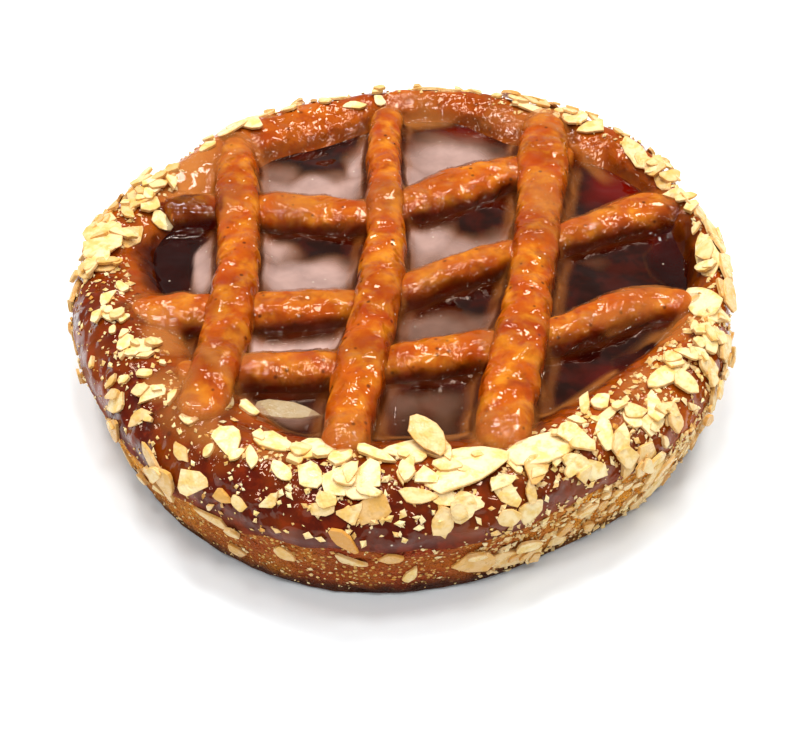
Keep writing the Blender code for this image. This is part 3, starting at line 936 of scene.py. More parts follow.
@dataclass
class Crust:
    """The tartlet's crust: foot, crumbly side, glazed rim and the hollow under the jam.

    The knots say by bearing how dark the rim's outer slope is, how brown its inner
    slope is, how toasted the side is and how dark its foot; on the side and foot
    the darkness at the front is partly painted shade.
    """

    shape: CrustShape
    bearings: int = 560
    rim_rows: int = 132
    hidden_rows: int = 8
    # How dark the rim's outer slope is by bearing, darkest towards the front.
    outer_darkness: Knots = (
        (0, 0.45), (30, 0.42), (60, 0.34), (95, 0.26), (130, 0.14), (155, 0.20), (180, 0.72),
        (205, 0.86), (235, 0.92), (262, 0.98), (290, 0.88), (315, 0.55), (340, 0.45))
    inner_browning: Knots = (
        (0, 0.30), (45, 0.35), (90, 0.35), (130, 0.22), (155, 0.25), (180, 0.60), (215, 0.62),
        (250, 0.60), (290, 0.62), (312, 0.50), (335, 0.12))
    # Toasting of the side by bearing, with painted shade on the front.
    toasting_and_front_shade: Knots = (
        (0, 0.25), (60, 0.48), (120, 0.48), (180, 0.18), (205, 0.10), (228, 0.35), (248, 0.75),
        (268, 0.95), (284, 0.70), (302, 0.25), (330, 0.12))
    # How dark the foot is by bearing: a darker baked edge, with painted shade added most at the front.
    foot_darkening: Knots = (
        (0, 0.65), (60, 0.55), (130, 0.55), (190, 0.60), (230, 0.85), (270, 0.98), (310, 0.85))

    def marks(self, points: Array, row: Array, bearing: Array, glazed: Array) -> dict[str, Array]:
        """Values that the finish reads.

        Args:
            points: Points of the crust.
            row: Their place along the section.
            bearing: Their bearings.
            glazed: Their glazed share.

        Returns:
            Bake, glazed, toast, low and gloss marks, by name.
        """
        outer = smoothstep(-row, -10.6, -8.4)
        inner = ring_curve(self.inner_browning, bearing) + 0.20 * smoothstep(row, 11.2, 12.0)
        bake = ring_curve(self.outer_darkness, bearing) * outer + inner * (1.0 - outer)
        bake = bake + 0.22 * LumpField(21, 6.0)(points) + 0.12 * LumpField(22, 2.6)(points)
        low = ring_curve(self.foot_darkening, bearing) * smoothstep(-points[..., 2], -5.6, -1.6)
        low = low + 0.15 * LumpField(23, 3.0)(points)
        toast = ring_curve(self.toasting_and_front_shade, bearing) + 0.25 * LumpField(24, 5.0)(points)
        gloss = glazed * smoothstep(points[..., 2] + LumpField(25, 6.0)(points), 14.0, 18.0)
        return {"bake": np.clip(bake, 0, 1), "glazed": glazed, "toast": np.clip(toast, 0, 1),
                "low": np.clip(low, 0, 1), "gloss": gloss}

    def build(self, maker: PieceMaker) -> bpy.types.Object:
        """Makes the crust as a closed grid of section rows and bearings.

        Args:
            maker: Maker of the pieces.

        Returns:
            The crust piece.
        """
        under_jam = self.shape.edge_row + 0.8
        seen = np.linspace(0.0, under_jam, self.rim_rows)
        hidden = np.linspace(under_jam, len(self.shape.section) - 1, self.hidden_rows + 1)[1:]
        rows = np.concatenate([seen, hidden])
        angles = ring_angles(self.bearings)
        row, bearing = np.meshgrid(rows, angles, indexing="ij")
        points, _, glazed = self.shape.surface(bearing, row)
        marks = self.marks(points, row, bearing, glazed)
        centres = np.array([[0.0, 0.0, 0.0], [0.0, 0.0, self.shape.section[-1][3]]])
        quads, caps = capped_grid(len(rows), self.bearings)
        marks = {name: np.concatenate([values.ravel(), [0.0, 0.0]]) for name, values in marks.items()}
        made = maker.piece("glazed_crust", np.vstack([points.reshape(-1, 3), centres]), quads, caps,
                           CrustFinish().material(), marks)
        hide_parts("crust")
        return made


@dataclass(frozen=True)
class Patch:
    """Soft oval place on the tartlet, seen from above."""

    x: float
    y: float
    half_x: float
    half_y: float
    strength: float = 1.0
    turn: float = 0.0

    def at(self, x: Array, y: Array, soft: float = 0.6) -> Array:
        """Strength of the patch over each place, with a soft border.

        Args:
            x: Places across.
            y: Places away from the viewer.
            soft: Share of the oval's size over which it fades.

        Returns:
            The strength, 0 outside.
        """
        c, s = math.cos(math.radians(self.turn)), math.sin(math.radians(self.turn))
        u = ((x - self.x) * c + (y - self.y) * s) / self.half_x
        v = ((y - self.y) * c - (x - self.x) * s) / self.half_y
        return self.strength * smoothstep(-np.hypot(u, v), -1.0 - soft, -1.0 + soft)


def patched(patches: tuple[Patch, ...], points: Array, wander: float) -> Array:
    """Strongest patch over each point, its border moved about by soft bumps.

    Args:
        patches: The patches.
        points: Points in millimetres.
        wander: Furthest that a border moves.

    Returns:
        The strength at each point.
    """
    flat = points * (1.0, 1.0, 0.0)
    x = points[..., 0] + wander * LumpField(41, 4.5)(flat)
    y = points[..., 1] + wander * LumpField(42, 4.5)(flat)
    return np.max([patch.at(x, y) for patch in patches], axis=0)


@dataclass
class Jam:
    """The jam that fills the hollow up to its line."""

    shape: CrustShape
    level: float = 18.7
    swell: float = 0.35
    bearings: int = 300
    rings: int = 110
    reds: tuple[Patch, ...] = (
        Patch(42, 27, 5.5, 7), Patch(50.5, 9, 4, 5.5, 0.7), Patch(36, -27, 6, 3.5, 0.5),
        Patch(14, 45, 7, 3, 0.7), Patch(-5, 13, 2.5, 9, 0.6), Patch(-13, -7, 7, 3, 0.6),
        Patch(-35, 5, 3, 4, 0.3), Patch(24, -42, 8, 3, 0.6))

    def height_at(self, x: Array, y: Array) -> Array:
        """Height of the jam: its level with two crossing low swells."""
        swell = np.sin(0.21 * x + 1.1) * np.cos(0.17 * y - 0.4) + 0.6 * np.sin(0.33 * y + 0.12 * x)
        return self.level + self.swell * swell / 1.6

    def build(self, maker: PieceMaker, lattice: "Lattice") -> bpy.types.Object:
        """Makes the jam as a closed disc: rings of a wavy top, a wall and a flat foot.

        Args:
            maker: Maker of the pieces.
            lattice: The strips, whose dough shows through the jam beside them.

        Returns:
            The jam piece.
        """
        angles = ring_angles(self.bearings)
        edge = ring_curve(self.shape.inner_edge, angles)
        shares = np.linspace(0.01, 1.0, self.rings)
        share, bearing = np.meshgrid(shares, angles, indexing="ij")
        radius = share * (edge + 0.2)
        x, y = radius * np.cos(bearing), radius * np.sin(bearing)
        flat = np.stack([x, y, np.zeros_like(x)], axis=-1)
        waves = 0.20 * LumpField(51, 6.5)(flat) + 0.03 * LumpField(52, 2.6)(flat)
        top = np.stack([x, y, self.height_at(x, y) + waves - 0.15], axis=-1)
        wall = []
        for level, inwards in ((16.6, 1.7), (self.shape.section[-1][3] + 0.3, 2.8)):
            r = edge - inwards
            wall.append(np.stack([r * np.cos(angles), r * np.sin(angles), np.full_like(r, level)], axis=-1))
        rings = np.concatenate([top, np.array(wall)])[::-1]
        centres = np.array([[0, 0, wall[-1][0, 2]], [0, 0, top[0, :, 2].mean()]])
        points = np.vstack([rings.reshape(-1, 3), centres])
        quads, caps = capped_grid(rings.shape[0], self.bearings)
        over = lattice.height_at(points[:, 0], points[:, 1]) - self.level
        marks = {"red": patched(self.reds, points, 1.2), "near_dough": smoothstep(over, -3.2, 0.6)}
        made = maker.piece("wet_jam", points, quads, caps, JamFinish().material(), marks)
        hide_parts("jam")
        return made


class Layer(Enum):
    """How a strip lies in the lattice."""

    LONG = "long strip over the others"
    CROSS = "cross strip under the long ones"


@dataclass(frozen=True)
class Strip:
    """One pastry rope: its node, its layer and its route."""

    node: str
    layer: Layer
    route: Route


@dataclass
class Lattice:
    """Six pastry ropes: three long ones over three cross ones."""

    shape: CrustShape
    long_top: float = 24.5
    cross_top: float = 22.7
    crossing_rise: float = 0.6
    crossing_dip: float = 0.9
    crossing_reach: float = 4.8
    end_cover: float = 1.7
    ceiling: float = 24.3
    ceiling_room: float = 0.8
    thickness: float = 7.5
    squareness: float = 0.86
    sides: int = 48
    step: float = 0.6
    strips: tuple[Strip, ...] = (
        Strip("strip_long_left", Layer.LONG, (
            (-34, 37, 7.5), (-32.5, 22, 8.7), (-31, 9, 8), (-30, -4, 8), (-30.5, -18, 8.4),
            (-31.5, -30, 8.4), (-33, -41, 8))),
        Strip("strip_long_mid", Layer.LONG, (
            (-3.5, 47.5, 7), (-4, 32, 7.2), (-3.5, 12, 7.3), (-4, -2, 8.5), (-5.5, -16, 8.6),
            (-8, -33, 8.5), (-9.5, -47, 7.4))),
        Strip("strip_long_right", Layer.LONG, (
            (29, 46, 9.4), (27.5, 32, 10.3), (25.5, 14, 8.9), (23, -3, 8.6), (20, -19, 9.2),
            (17, -33, 9.6), (15.3, -45.5, 9.8))),
        Strip("strip_cross_back", Layer.CROSS, (
            (-46, 16, 7.5), (-33, 17, 8.4), (-21, 16.5, 10.2), (-9, 15.2, 8), (2, 19.5, 9),
            (10, 24.2, 10.6), (19, 28.5, 9.2), (34, 35.5, 7))),
        Strip("strip_cross_mid", Layer.CROSS, (
            (-47.5, -13.2, 8), (-40, -12.5, 10), (-30, -11.8, 8), (-18, -11, 8.8), (-5, -8.8, 7.4),
            (7, -2.4, 6.8), (24, 6, 7.4), (36, 11.8, 7.6), (45, 16.3, 10), (52.5, 17.6, 10.6))),
        Strip("strip_cross_front", Layer.CROSS, (
            (-38, -29, 6.6), (-27, -27, 7), (-18, -26.6, 8), (-7, -25.2, 7.2), (6, -22.8, 8.2),
            (19, -19.6, 7.4), (28, -16.8, 6.5), (37.5, -11.3, 7.6), (44, -9.4, 7.6), (51, -9.8, 7))),
    )

    def crossings(self, strip: Strip) -> Array:
        """Places where a strip meets those of the other layer, seen from above.

        Args:
            strip: The strip.

        Returns:
            One row of x and y for each crossing.
        """
        own = smooth_route(strip.route, 0.5)[:, :2]
        places = []
        for other in self.strips:
            if other.layer is strip.layer:
                continue
            apart = np.linalg.norm(own[:, None] - smooth_route(other.route, 0.5)[None, :, :2], axis=2)
            if apart.min() < 1.0:
                places.append(own[np.unravel_index(apart.argmin(), apart.shape)[0]])
        return np.array(places)

    def stations(self, strip: Strip) -> dict[str, Array]:
        """Centre line and section of a strip.

        The top is the layer's height, changed at each crossing by a bell curve and
        held above the rim. Near a tip the section shrinks as a circle does.

        Args:
            strip: The strip.

        Returns:
            Path, heading, half width, half height and middle height, by name.
        """
        rows = smooth_route(strip.route, self.step)
        path, width = rows[:, :2], rows[:, 2]
        is_long = strip.layer is Layer.LONG
        top = np.full(len(rows), self.long_top if is_long else self.cross_top)
        change = self.crossing_rise if is_long else -self.crossing_dip
        for place in self.crossings(strip):
            away = np.linalg.norm(path - place, axis=1)
            top += change * np.exp(-(away / self.crossing_reach) ** 2)
        on_rim = np.maximum(self.shape.height_at(path[:, 0], path[:, 1]), 13.0) + self.end_cover
        top = smooth_max(top, on_rim, 0.5)
        along = np.concatenate([[0.0], np.cumsum(np.linalg.norm(np.diff(path, axis=0), axis=1))])
        from_tip = np.minimum(along, along[-1] - along)
        round_off = np.sqrt(np.maximum(1.0 - (1.0 - np.minimum(from_tip / (0.45 * width), 1.0)) ** 2, 0.02))
        wave = 1.0 + 0.025 * np.sin(0.9 * along) + 0.025 * np.sin(0.37 * along + path[:, 0])
        half_height = 0.5 * self.thickness * (0.45 + 0.55 * round_off)
        return {"path": path, "heading": unit(np.gradient(path, axis=0)),
                "half_width": 0.5 * width * round_off * wave, "half_height": half_height,
                "middle": top - half_height - 0.25 * (1.0 - round_off) * self.thickness}

    def height_at(self, x: Array, y: Array) -> Array:
        """Height of the lattice over each place, with flanks that fall off steeply.

        Args:
            x: Places across.
            y: Places away from the viewer.

        Returns:
            Height in millimetres, low where no strip is near.
        """
        places = np.stack([x.ravel(), y.ravel()], axis=-1)
        best = np.full(len(places), -50.0)
        for strip in self.strips:
            rows = self.stations(strip)
            apart = np.linalg.norm(places[:, None] - rows["path"][None, ::2], axis=2)
            nearest = apart.argmin(axis=1)
            distance = apart.min(axis=1)
            half_width = rows["half_width"][::2][nearest]
            inside = 1.0 - (distance / half_width) ** (2.0 / self.squareness)
            inside = np.maximum(inside, 0.0) ** (0.5 * self.squareness)
            height = rows["middle"][::2][nearest] + rows["half_height"][::2][nearest] * inside
            height = height - 1.5 * np.maximum(distance - half_width, 0.0)
            best = smooth_max(best, height, 0.8)
        return best.reshape(x.shape)

    def lumps(self, points: Array) -> Array:
        """How far the dough bulges at each point."""
        return (0.36 * LumpField(61, 6.5)(points) + 0.12 * LumpField(62, 2.8)(points)
                + 0.04 * LumpField(63, 1.2)(points))

    def flank_shade_mark(self, strip: Strip, points: Array, normal: Array) -> Array:
        """How much each point has the painted shade of the flanks and crossings, a darker red-brown.

        Sides below the top have it, flanks that face the viewer most, and it falls off
        round each crossing as a bell curve, with soft random patches on top.

        Args:
            strip: The strip.
            points: Its points.
            normal: Outward directions at the points.

        Returns:
            Values from 0 to 1.
        """
        flank_shade = smoothstep(-normal[..., 2], -0.90, -0.05)
        flank_shade = flank_shade * (0.25 + 0.85 * smoothstep(-normal[..., 1], -0.1, 0.6))
        away = np.linalg.norm(points[..., None, :2] - self.crossings(strip), axis=-1).min(axis=-1)
        flank_shade = flank_shade + 0.45 * np.exp(-(away / self.crossing_reach) ** 2)
        return np.clip(flank_shade + 0.3 * LumpField(64, 4.0)(points), 0, 1)

    def build(self, maker: PieceMaker) -> list[bpy.types.Object]:
        """Makes each strip as an oval section carried along its route, with lumps pushed outwards.

        Args:
            maker: Maker of the pieces.

        Returns:
            The six strip pieces.
        """
        material = StripFinish().material()
        angles = ring_angles(self.sides)
        c, s = np.cos(angles), np.sin(angles)
        across = np.sign(c) * np.abs(c) ** self.squareness
        up = np.sign(s) * np.abs(s) ** self.squareness
        pieces = []
        for strip in self.strips:
            rows = self.stations(strip)
            side = np.stack([-rows["heading"][:, 1], rows["heading"][:, 0]], axis=-1)
            flat = rows["path"][:, None] + (rows["half_width"][:, None] * across)[..., None] * side[:, None]
            height = rows["middle"][:, None] + rows["half_height"][:, None] * up
            points = np.concatenate([flat, height[..., None]], axis=-1)
            rise = np.broadcast_to(s[None, :, None], (*points.shape[:2], 1))
            normal = unit(np.concatenate([c[None, :, None] * side[:, None], rise], axis=-1))
            points = points + self.lumps(points)[..., None] * normal
            over = np.maximum(points[..., 2] - self.ceiling, 0.0)
            points[..., 2] += self.ceiling_room * (1.0 - np.exp(-over / self.ceiling_room)) - over
            # Painted shade of the flanks and crossings.
            flank_shade = self.flank_shade_mark(strip, points, normal)
            tips = np.array([points[0].mean(axis=0), points[-1].mean(axis=0)])
            quads, caps = capped_grid(points.shape[0], self.sides, inverted=True)
            points = np.vstack([points.reshape(-1, 3), tips])
            marks = {"flank_shade": np.concatenate([flank_shade.ravel(), [0.5, 0.5]])}
            made = maker.piece("glazed_" + strip.node, points, quads, caps, material, marks)
            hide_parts(strip.node)
            pieces.append(made)
        return pieces


@dataclass
class SugarGlaze:
    """Sugar glaze over jam, strips and rim.

    It is milky in the pockets, fills the creases, veils parts of the rim, lies
    thick and toffee-brown in a few places and leaves dark stains in others. It also
    carries painted shade and a painted shadow in front of the strips and the rim.
    """

    shape: CrustShape
    jam: Jam
    lattice: Lattice
    reach: float = 3.6
    cell: float = 0.42
    lift: float = 0.22
    radius: float = 57.0
    # Reach of the painted shadow in front of strips and rim, in millimetres.
    painted_shadow: float = 6.3
    steep: tuple[float, float] = (2.2, 3.8)
    strip_foot: tuple[float, float, float, float] = (-1.8, 1.4, 2.0, 5.2)
    rim_foot: tuple[float, float, float, float] = (-3.0, 0.6, 0.6, 2.2)
    least_cover: float = 0.03
    most_cover: float = 0.95
    pockets: tuple[Patch, ...] = (
        Patch(-16.8, 24.0, 11.4, 5.6, 0.9), Patch(-8.8, 30.5, 3.4, 7.0, 0.95),
        Patch(-25, 27, 4.0, 6.0, 0.5), Patch(9.6, 33.5, 10.6, 8.0, 0.9),
        Patch(3.0, 26.5, 6.0, 5.5, 0.9), Patch(-18.6, -1.8, 11.2, 4.8, 0.95),
        Patch(-25.4, 6.5, 4.4, 8.0, 0.8), Patch(-36.0, 1.5, 4.2, 8.4, 0.9, 12.0),
        Patch(3.6, 10.8, 5.4, 10.0, 0.85), Patch(12.2, 6.0, 10.6, 5.0, 0.75),
        Patch(-19.6, -20.2, 11.0, 5.4, 1.0), Patch(-24.9, -15.0, 3.6, 5.0, 0.8),
        Patch(5.4, -15.4, 9.0, 4.6, 0.5), Patch(13.6, -13.8, 4.4, 3.0, 0.4),
        Patch(-0.3, -32.7, 4.2, 6.0, 0.36), Patch(5.9, -33.8, 4.0, 5.0, 0.30),
        Patch(-22.5, -29.6, 3.6, 2.2, 0.4), Patch(-20.0, -34.0, 6.5, 3.4, 0.5, -10.0),
        Patch(34.0, 4.0, 3.6, 2.0, 0.25), Patch(27.2, -18.0, 3.0, 3.0, 0.2))
    toffee: tuple[Patch, ...] = (
        Patch(45.5, -18.2, 6.5, 3.2, 0.45, 25.0), Patch(38, -31, 5.0, 3.0, 0.4, 40.0),
        Patch(-41, -20, 4.0, 4.0, 0.6), Patch(-38, -33, 4.0, 4.0, 0.6))
    stains: tuple[Patch, ...] = (
        Patch(-43.6, 4.5, 4.0, 9.0, 0.72), Patch(-41.0, 15.5, 5.0, 3.0, 0.5),
        Patch(51.6, 2.6, 3.8, 9.5, 0.75, 8.0), Patch(39.0, -22.5, 2.2, 5.0, 0.2, -42.0),
        Patch(-44.0, -2.0, 3.0, 4.0, 0.6))
    veils: tuple[Patch, ...] = (
        Patch(-24, -48.5, 5.0, 2.0, 0.4, -25.0), Patch(20, -50, 6.0, 2.0, 0.35, 20.0),
        Patch(35, -44, 5.0, 2.4, 0.4, 45.0), Patch(-31, -43.5, 7.0, 2.6, 0.5, -38.0),
        Patch(-42, 26, 5.6, 11.0, 0.8, -20.0), Patch(3, 48.5, 6.0, 4.0, 0.5),
        Patch(29, 46, 11, 4.0, 0.4), Patch(-34, 35, 5.0, 4.5, 0.35), Patch(26.0, 16.0, 3.6, 7.0, 0.5),
        Patch(-33.4, 13.0, 2.6, 4.5, 0.45), Patch(38, -13.2, 11.0, 1.3, 0.4, 21.0),
        Patch(14.8, -43.5, 5.5, 3.4, 0.42), Patch(43, -38, 4.0, 7.0, 0.45, -40.0),
        Patch(-35, -40, 3.5, 5.0, 0.4), Patch(-9.6, -45.5, 3.6, 3.0, 0.42),
        Patch(38, 33, 5.0, 3.0, 0.35, -40.0), Patch(-3.5, 14, 4.5, 6.0, 0.2))

    def film(self, x: Array, y: Array) -> tuple[Array, Array]:
        """Height of the film and how far it stands over the bare surfaces in the creases.

        The film is the round-cornered largest of jam, lattice and rim.

        Args:
            x: Places across.
            y: Places away from the viewer.

        Returns:
            Height and crease depth in millimetres.
        """
        jam = self.jam.height_at(x, y)
        strips = self.lattice.height_at(x, y)
        strips = strips + self.lattice.lumps(np.stack([x, y, strips], axis=-1))
        rim = self.shape.height_at(x, y)
        bare = np.maximum(np.maximum(jam, strips), rim)
        height = smooth_max(smooth_max(jam, strips, self.reach), rim, self.reach)
        return height, height - bare

    def painted_shadow_share(self, x: Array, y: Array) -> Array:
        """Painted shadow: 1 in front of a strip or the rim, where the milky glaze is kept off the jam and
        the glaze is darkened, falling to 0.

        It is the largest, over steps back from each place, of how far what
        stands there rises over the jam, times a share that falls with the step.

        Args:
            x: Places across, on a square grid.
            y: Places away from the viewer, one value for each row of it.

        Returns:
            The share of painted shadow.
        """
        level = self.jam.level
        over = np.maximum(self.lattice.height_at(x, y), self.shape.height_at(x, y)) - level
        over = over - 0.6 * LumpField(74, 5.0)(np.stack([x, y, np.zeros_like(x)], axis=-1))
        stands = smoothstep(over, 0.2, 2.4)
        painted_shadow = np.zeros_like(stands)
        for step in range(1, int(self.painted_shadow / self.cell)):
            behind = np.concatenate([stands[step:], np.zeros_like(stands[:step])])
            painted_shadow = np.maximum(painted_shadow, behind * (1.0 - step * self.cell / self.painted_shadow))
        return smoothstep(painted_shadow, 0.05, 0.75)

    def ground(self, x: Array, y: Array) -> dict[str, Array]:
        """What the glaze lies on, at each place of a square grid.

        Args:
            x: Places across.
            y: Places away from the viewer, one value for each row.

        Returns:
            Heights, and shares from 0 to 1, by name.
        """
        height, crease = self.film(x, y)
        flat = np.stack([x, y, np.zeros_like(x)], axis=-1)
        jam = self.jam.height_at(x, y)
        strips = self.lattice.height_at(x, y)
        rim = self.shape.height_at(x, y)
        uneven = 0.5 + 0.5 * LumpField(71, 7.0)(flat)
        on_rim = rim - jam + 0.9 * (uneven - 0.5)
        over = strips - jam + (1.2 * (uneven - 0.5) + 0.9 * LumpField(76, 3.2)(flat))
        facing = smoothstep(np.gradient(height, self.cell, axis=0), 0.05, 0.8)
        painted_shadow = self.painted_shadow_share(x, y)
        # The milky pools stay out of the painted shadow.
        pools = patched(self.pockets, flat, 1.6) * (1.0 - painted_shadow)
        edge = ring_curve(self.shape.outline, np.arctan2(y, x)) - np.hypot(x, y)
        return {"flat": flat, "height": height, "uneven": uneven, "over": over, "on_rim": on_rim,
                "band": smoothstep(crease / (0.25 * self.reach), 0.04, 0.75),
                "on_strip": smoothstep(strips - jam, 0.6, 3.2),
                "facing": facing * (1.0 - 0.8 * smoothstep(rim, 18.0, 20.0)),
                "foot": np.maximum(between(over, self.strip_foot), between(on_rim, self.rim_foot)),
                "patchy": smoothstep(LumpField(75, 5.5)(flat), -0.35, 0.35),
                "inside": smoothstep(edge, 1.0, 6.0), "slope": np.hypot(*np.gradient(height, self.cell)),
                "painted_shadow": painted_shadow, "pools": pools, "veils": patched(self.veils, flat, 2.0),
                "toffee": patched(self.toffee, flat, 1.6),
                "stains": patched(self.stains, flat, 2.4) * (1.0 - pools)}

    def cover_mark(self, ground: dict[str, Array]) -> Array:
        """How much the glaze hides: the most of creases, feet, pockets, veils, toffee and stains.

        It fades on steep slopes, where the film would stretch, and at the rim's outer edge.

        Args:
            ground: What the glaze lies on.

        Returns:
            Values from 0 to 1.
        """
        foot = ground["foot"] * (0.16 + 0.38 * ground["patchy"]) * (1.0 - 0.5 * ground["facing"])
        pools = ground["pools"] * (1.0 - 0.40 * ground["on_strip"]) * (0.80 + 0.20 * ground["uneven"])
        cover = np.max([0.30 * ground["band"], foot, pools, ground["veils"], ground["toffee"]], axis=0)
        cover = cover * ground["inside"] * (1.0 - smoothstep(ground["slope"], *self.steep))
        cover = np.clip(cover, 0.0, self.most_cover)
        return np.maximum(cover, ground["stains"] * ground["inside"])

    def warm_mark(self, ground: dict[str, Array]) -> Array:
        """How much the glaze has the dough's caramel colour.

        Args:
            ground: What the glaze lies on.

        Returns:
            Values from 0 to 1, least in the pockets and veils.
        """
        on_rim = smoothstep(ground["on_rim"], 0.5, 2.0)
        warm = np.max([ground["band"], ground["on_strip"], ground["foot"], on_rim], axis=0)
        warm = warm * (1.0 - 0.7 * smoothstep(ground["veils"], 0.1, 0.4))
        pools = ground["pools"]
        warm = np.clip(np.maximum(warm - pools, (1.0 - pools) ** 1.5), 0.0, 1.0)
        return np.maximum(warm, ground["toffee"])

    def shade_and_syrup_mark(self, ground: dict[str, Array]) -> Array:
        """How much the glaze is dark: painted shade in front of strips, on slopes facing the viewer and low
        on the jam, and dark syrup in stains.

        Args:
            ground: What the glaze lies on.

        Returns:
            Values from 0 to 1, none in the pockets.
        """
        low = 1.0 - smoothstep(np.maximum(ground["over"], ground["on_rim"]), -0.6, 1.6)
        # Painted shade: slopes facing the viewer, low places by strips and rim, and the painted shadow.
        shade_and_syrup = np.max([0.9 * ground["facing"], 0.30 * low, 0.6 * (1.0 - ground["patchy"]) * low,
                       0.9 * ground["painted_shadow"] * (1.0 - ground["on_strip"])], axis=0)
        pale = smoothstep(np.maximum(ground["veils"], ground["toffee"]), 0.05, 0.3)
        shade_and_syrup = shade_and_syrup * (1.0 - ground["pools"]) * (1.0 - pale)
        return np.maximum(shade_and_syrup, smoothstep(ground["stains"], 0.0, 0.12))

    def build(self, maker: PieceMaker) -> bpy.types.Object:
        """Makes the film on a square grid, without the cells where nothing of it shows.

        Its lift over the film's height grows with the slope, so that it stays
        clear of the steep flanks too.

        Args:
            maker: Maker of the pieces.

        Returns:
            The glaze piece.
        """
        line = np.arange(-self.radius, self.radius, self.cell)
        y, x = np.meshgrid(line, line, indexing="ij")
        ground = self.ground(x, y)
        flat, slope = ground["flat"], ground["slope"]
        bumps = 0.10 * LumpField(72, 3.0)(flat) + 0.05 * LumpField(73, 1.4)(flat)
        height = ground["height"] + self.lift * np.minimum(np.hypot(slope, 1.0), 3.0)
        height = height + 0.25 * ground["pools"] * (1.0 - ground["on_strip"]) + bumps
        points = np.stack([x, y, height], axis=-1).reshape(-1, 3)
        quads = grid_faces(len(line), len(line), closed=False)
        marks = {"cover": self.cover_mark(ground), "warm": self.warm_mark(ground),
                 "shade_and_syrup": self.shade_and_syrup_mark(ground)}
        quads = quads[(marks["cover"].ravel()[quads] > self.least_cover).any(axis=1)]
        used, renumbered = np.unique(quads, return_inverse=True)
        made = maker.piece("sugar_glaze", points[used], renumbered.reshape(-1, 4), np.zeros((0, 3), int),
                           GlazeFinish().material(),
                           {name: values.ravel()[used] for name, values in marks.items()})
        return made


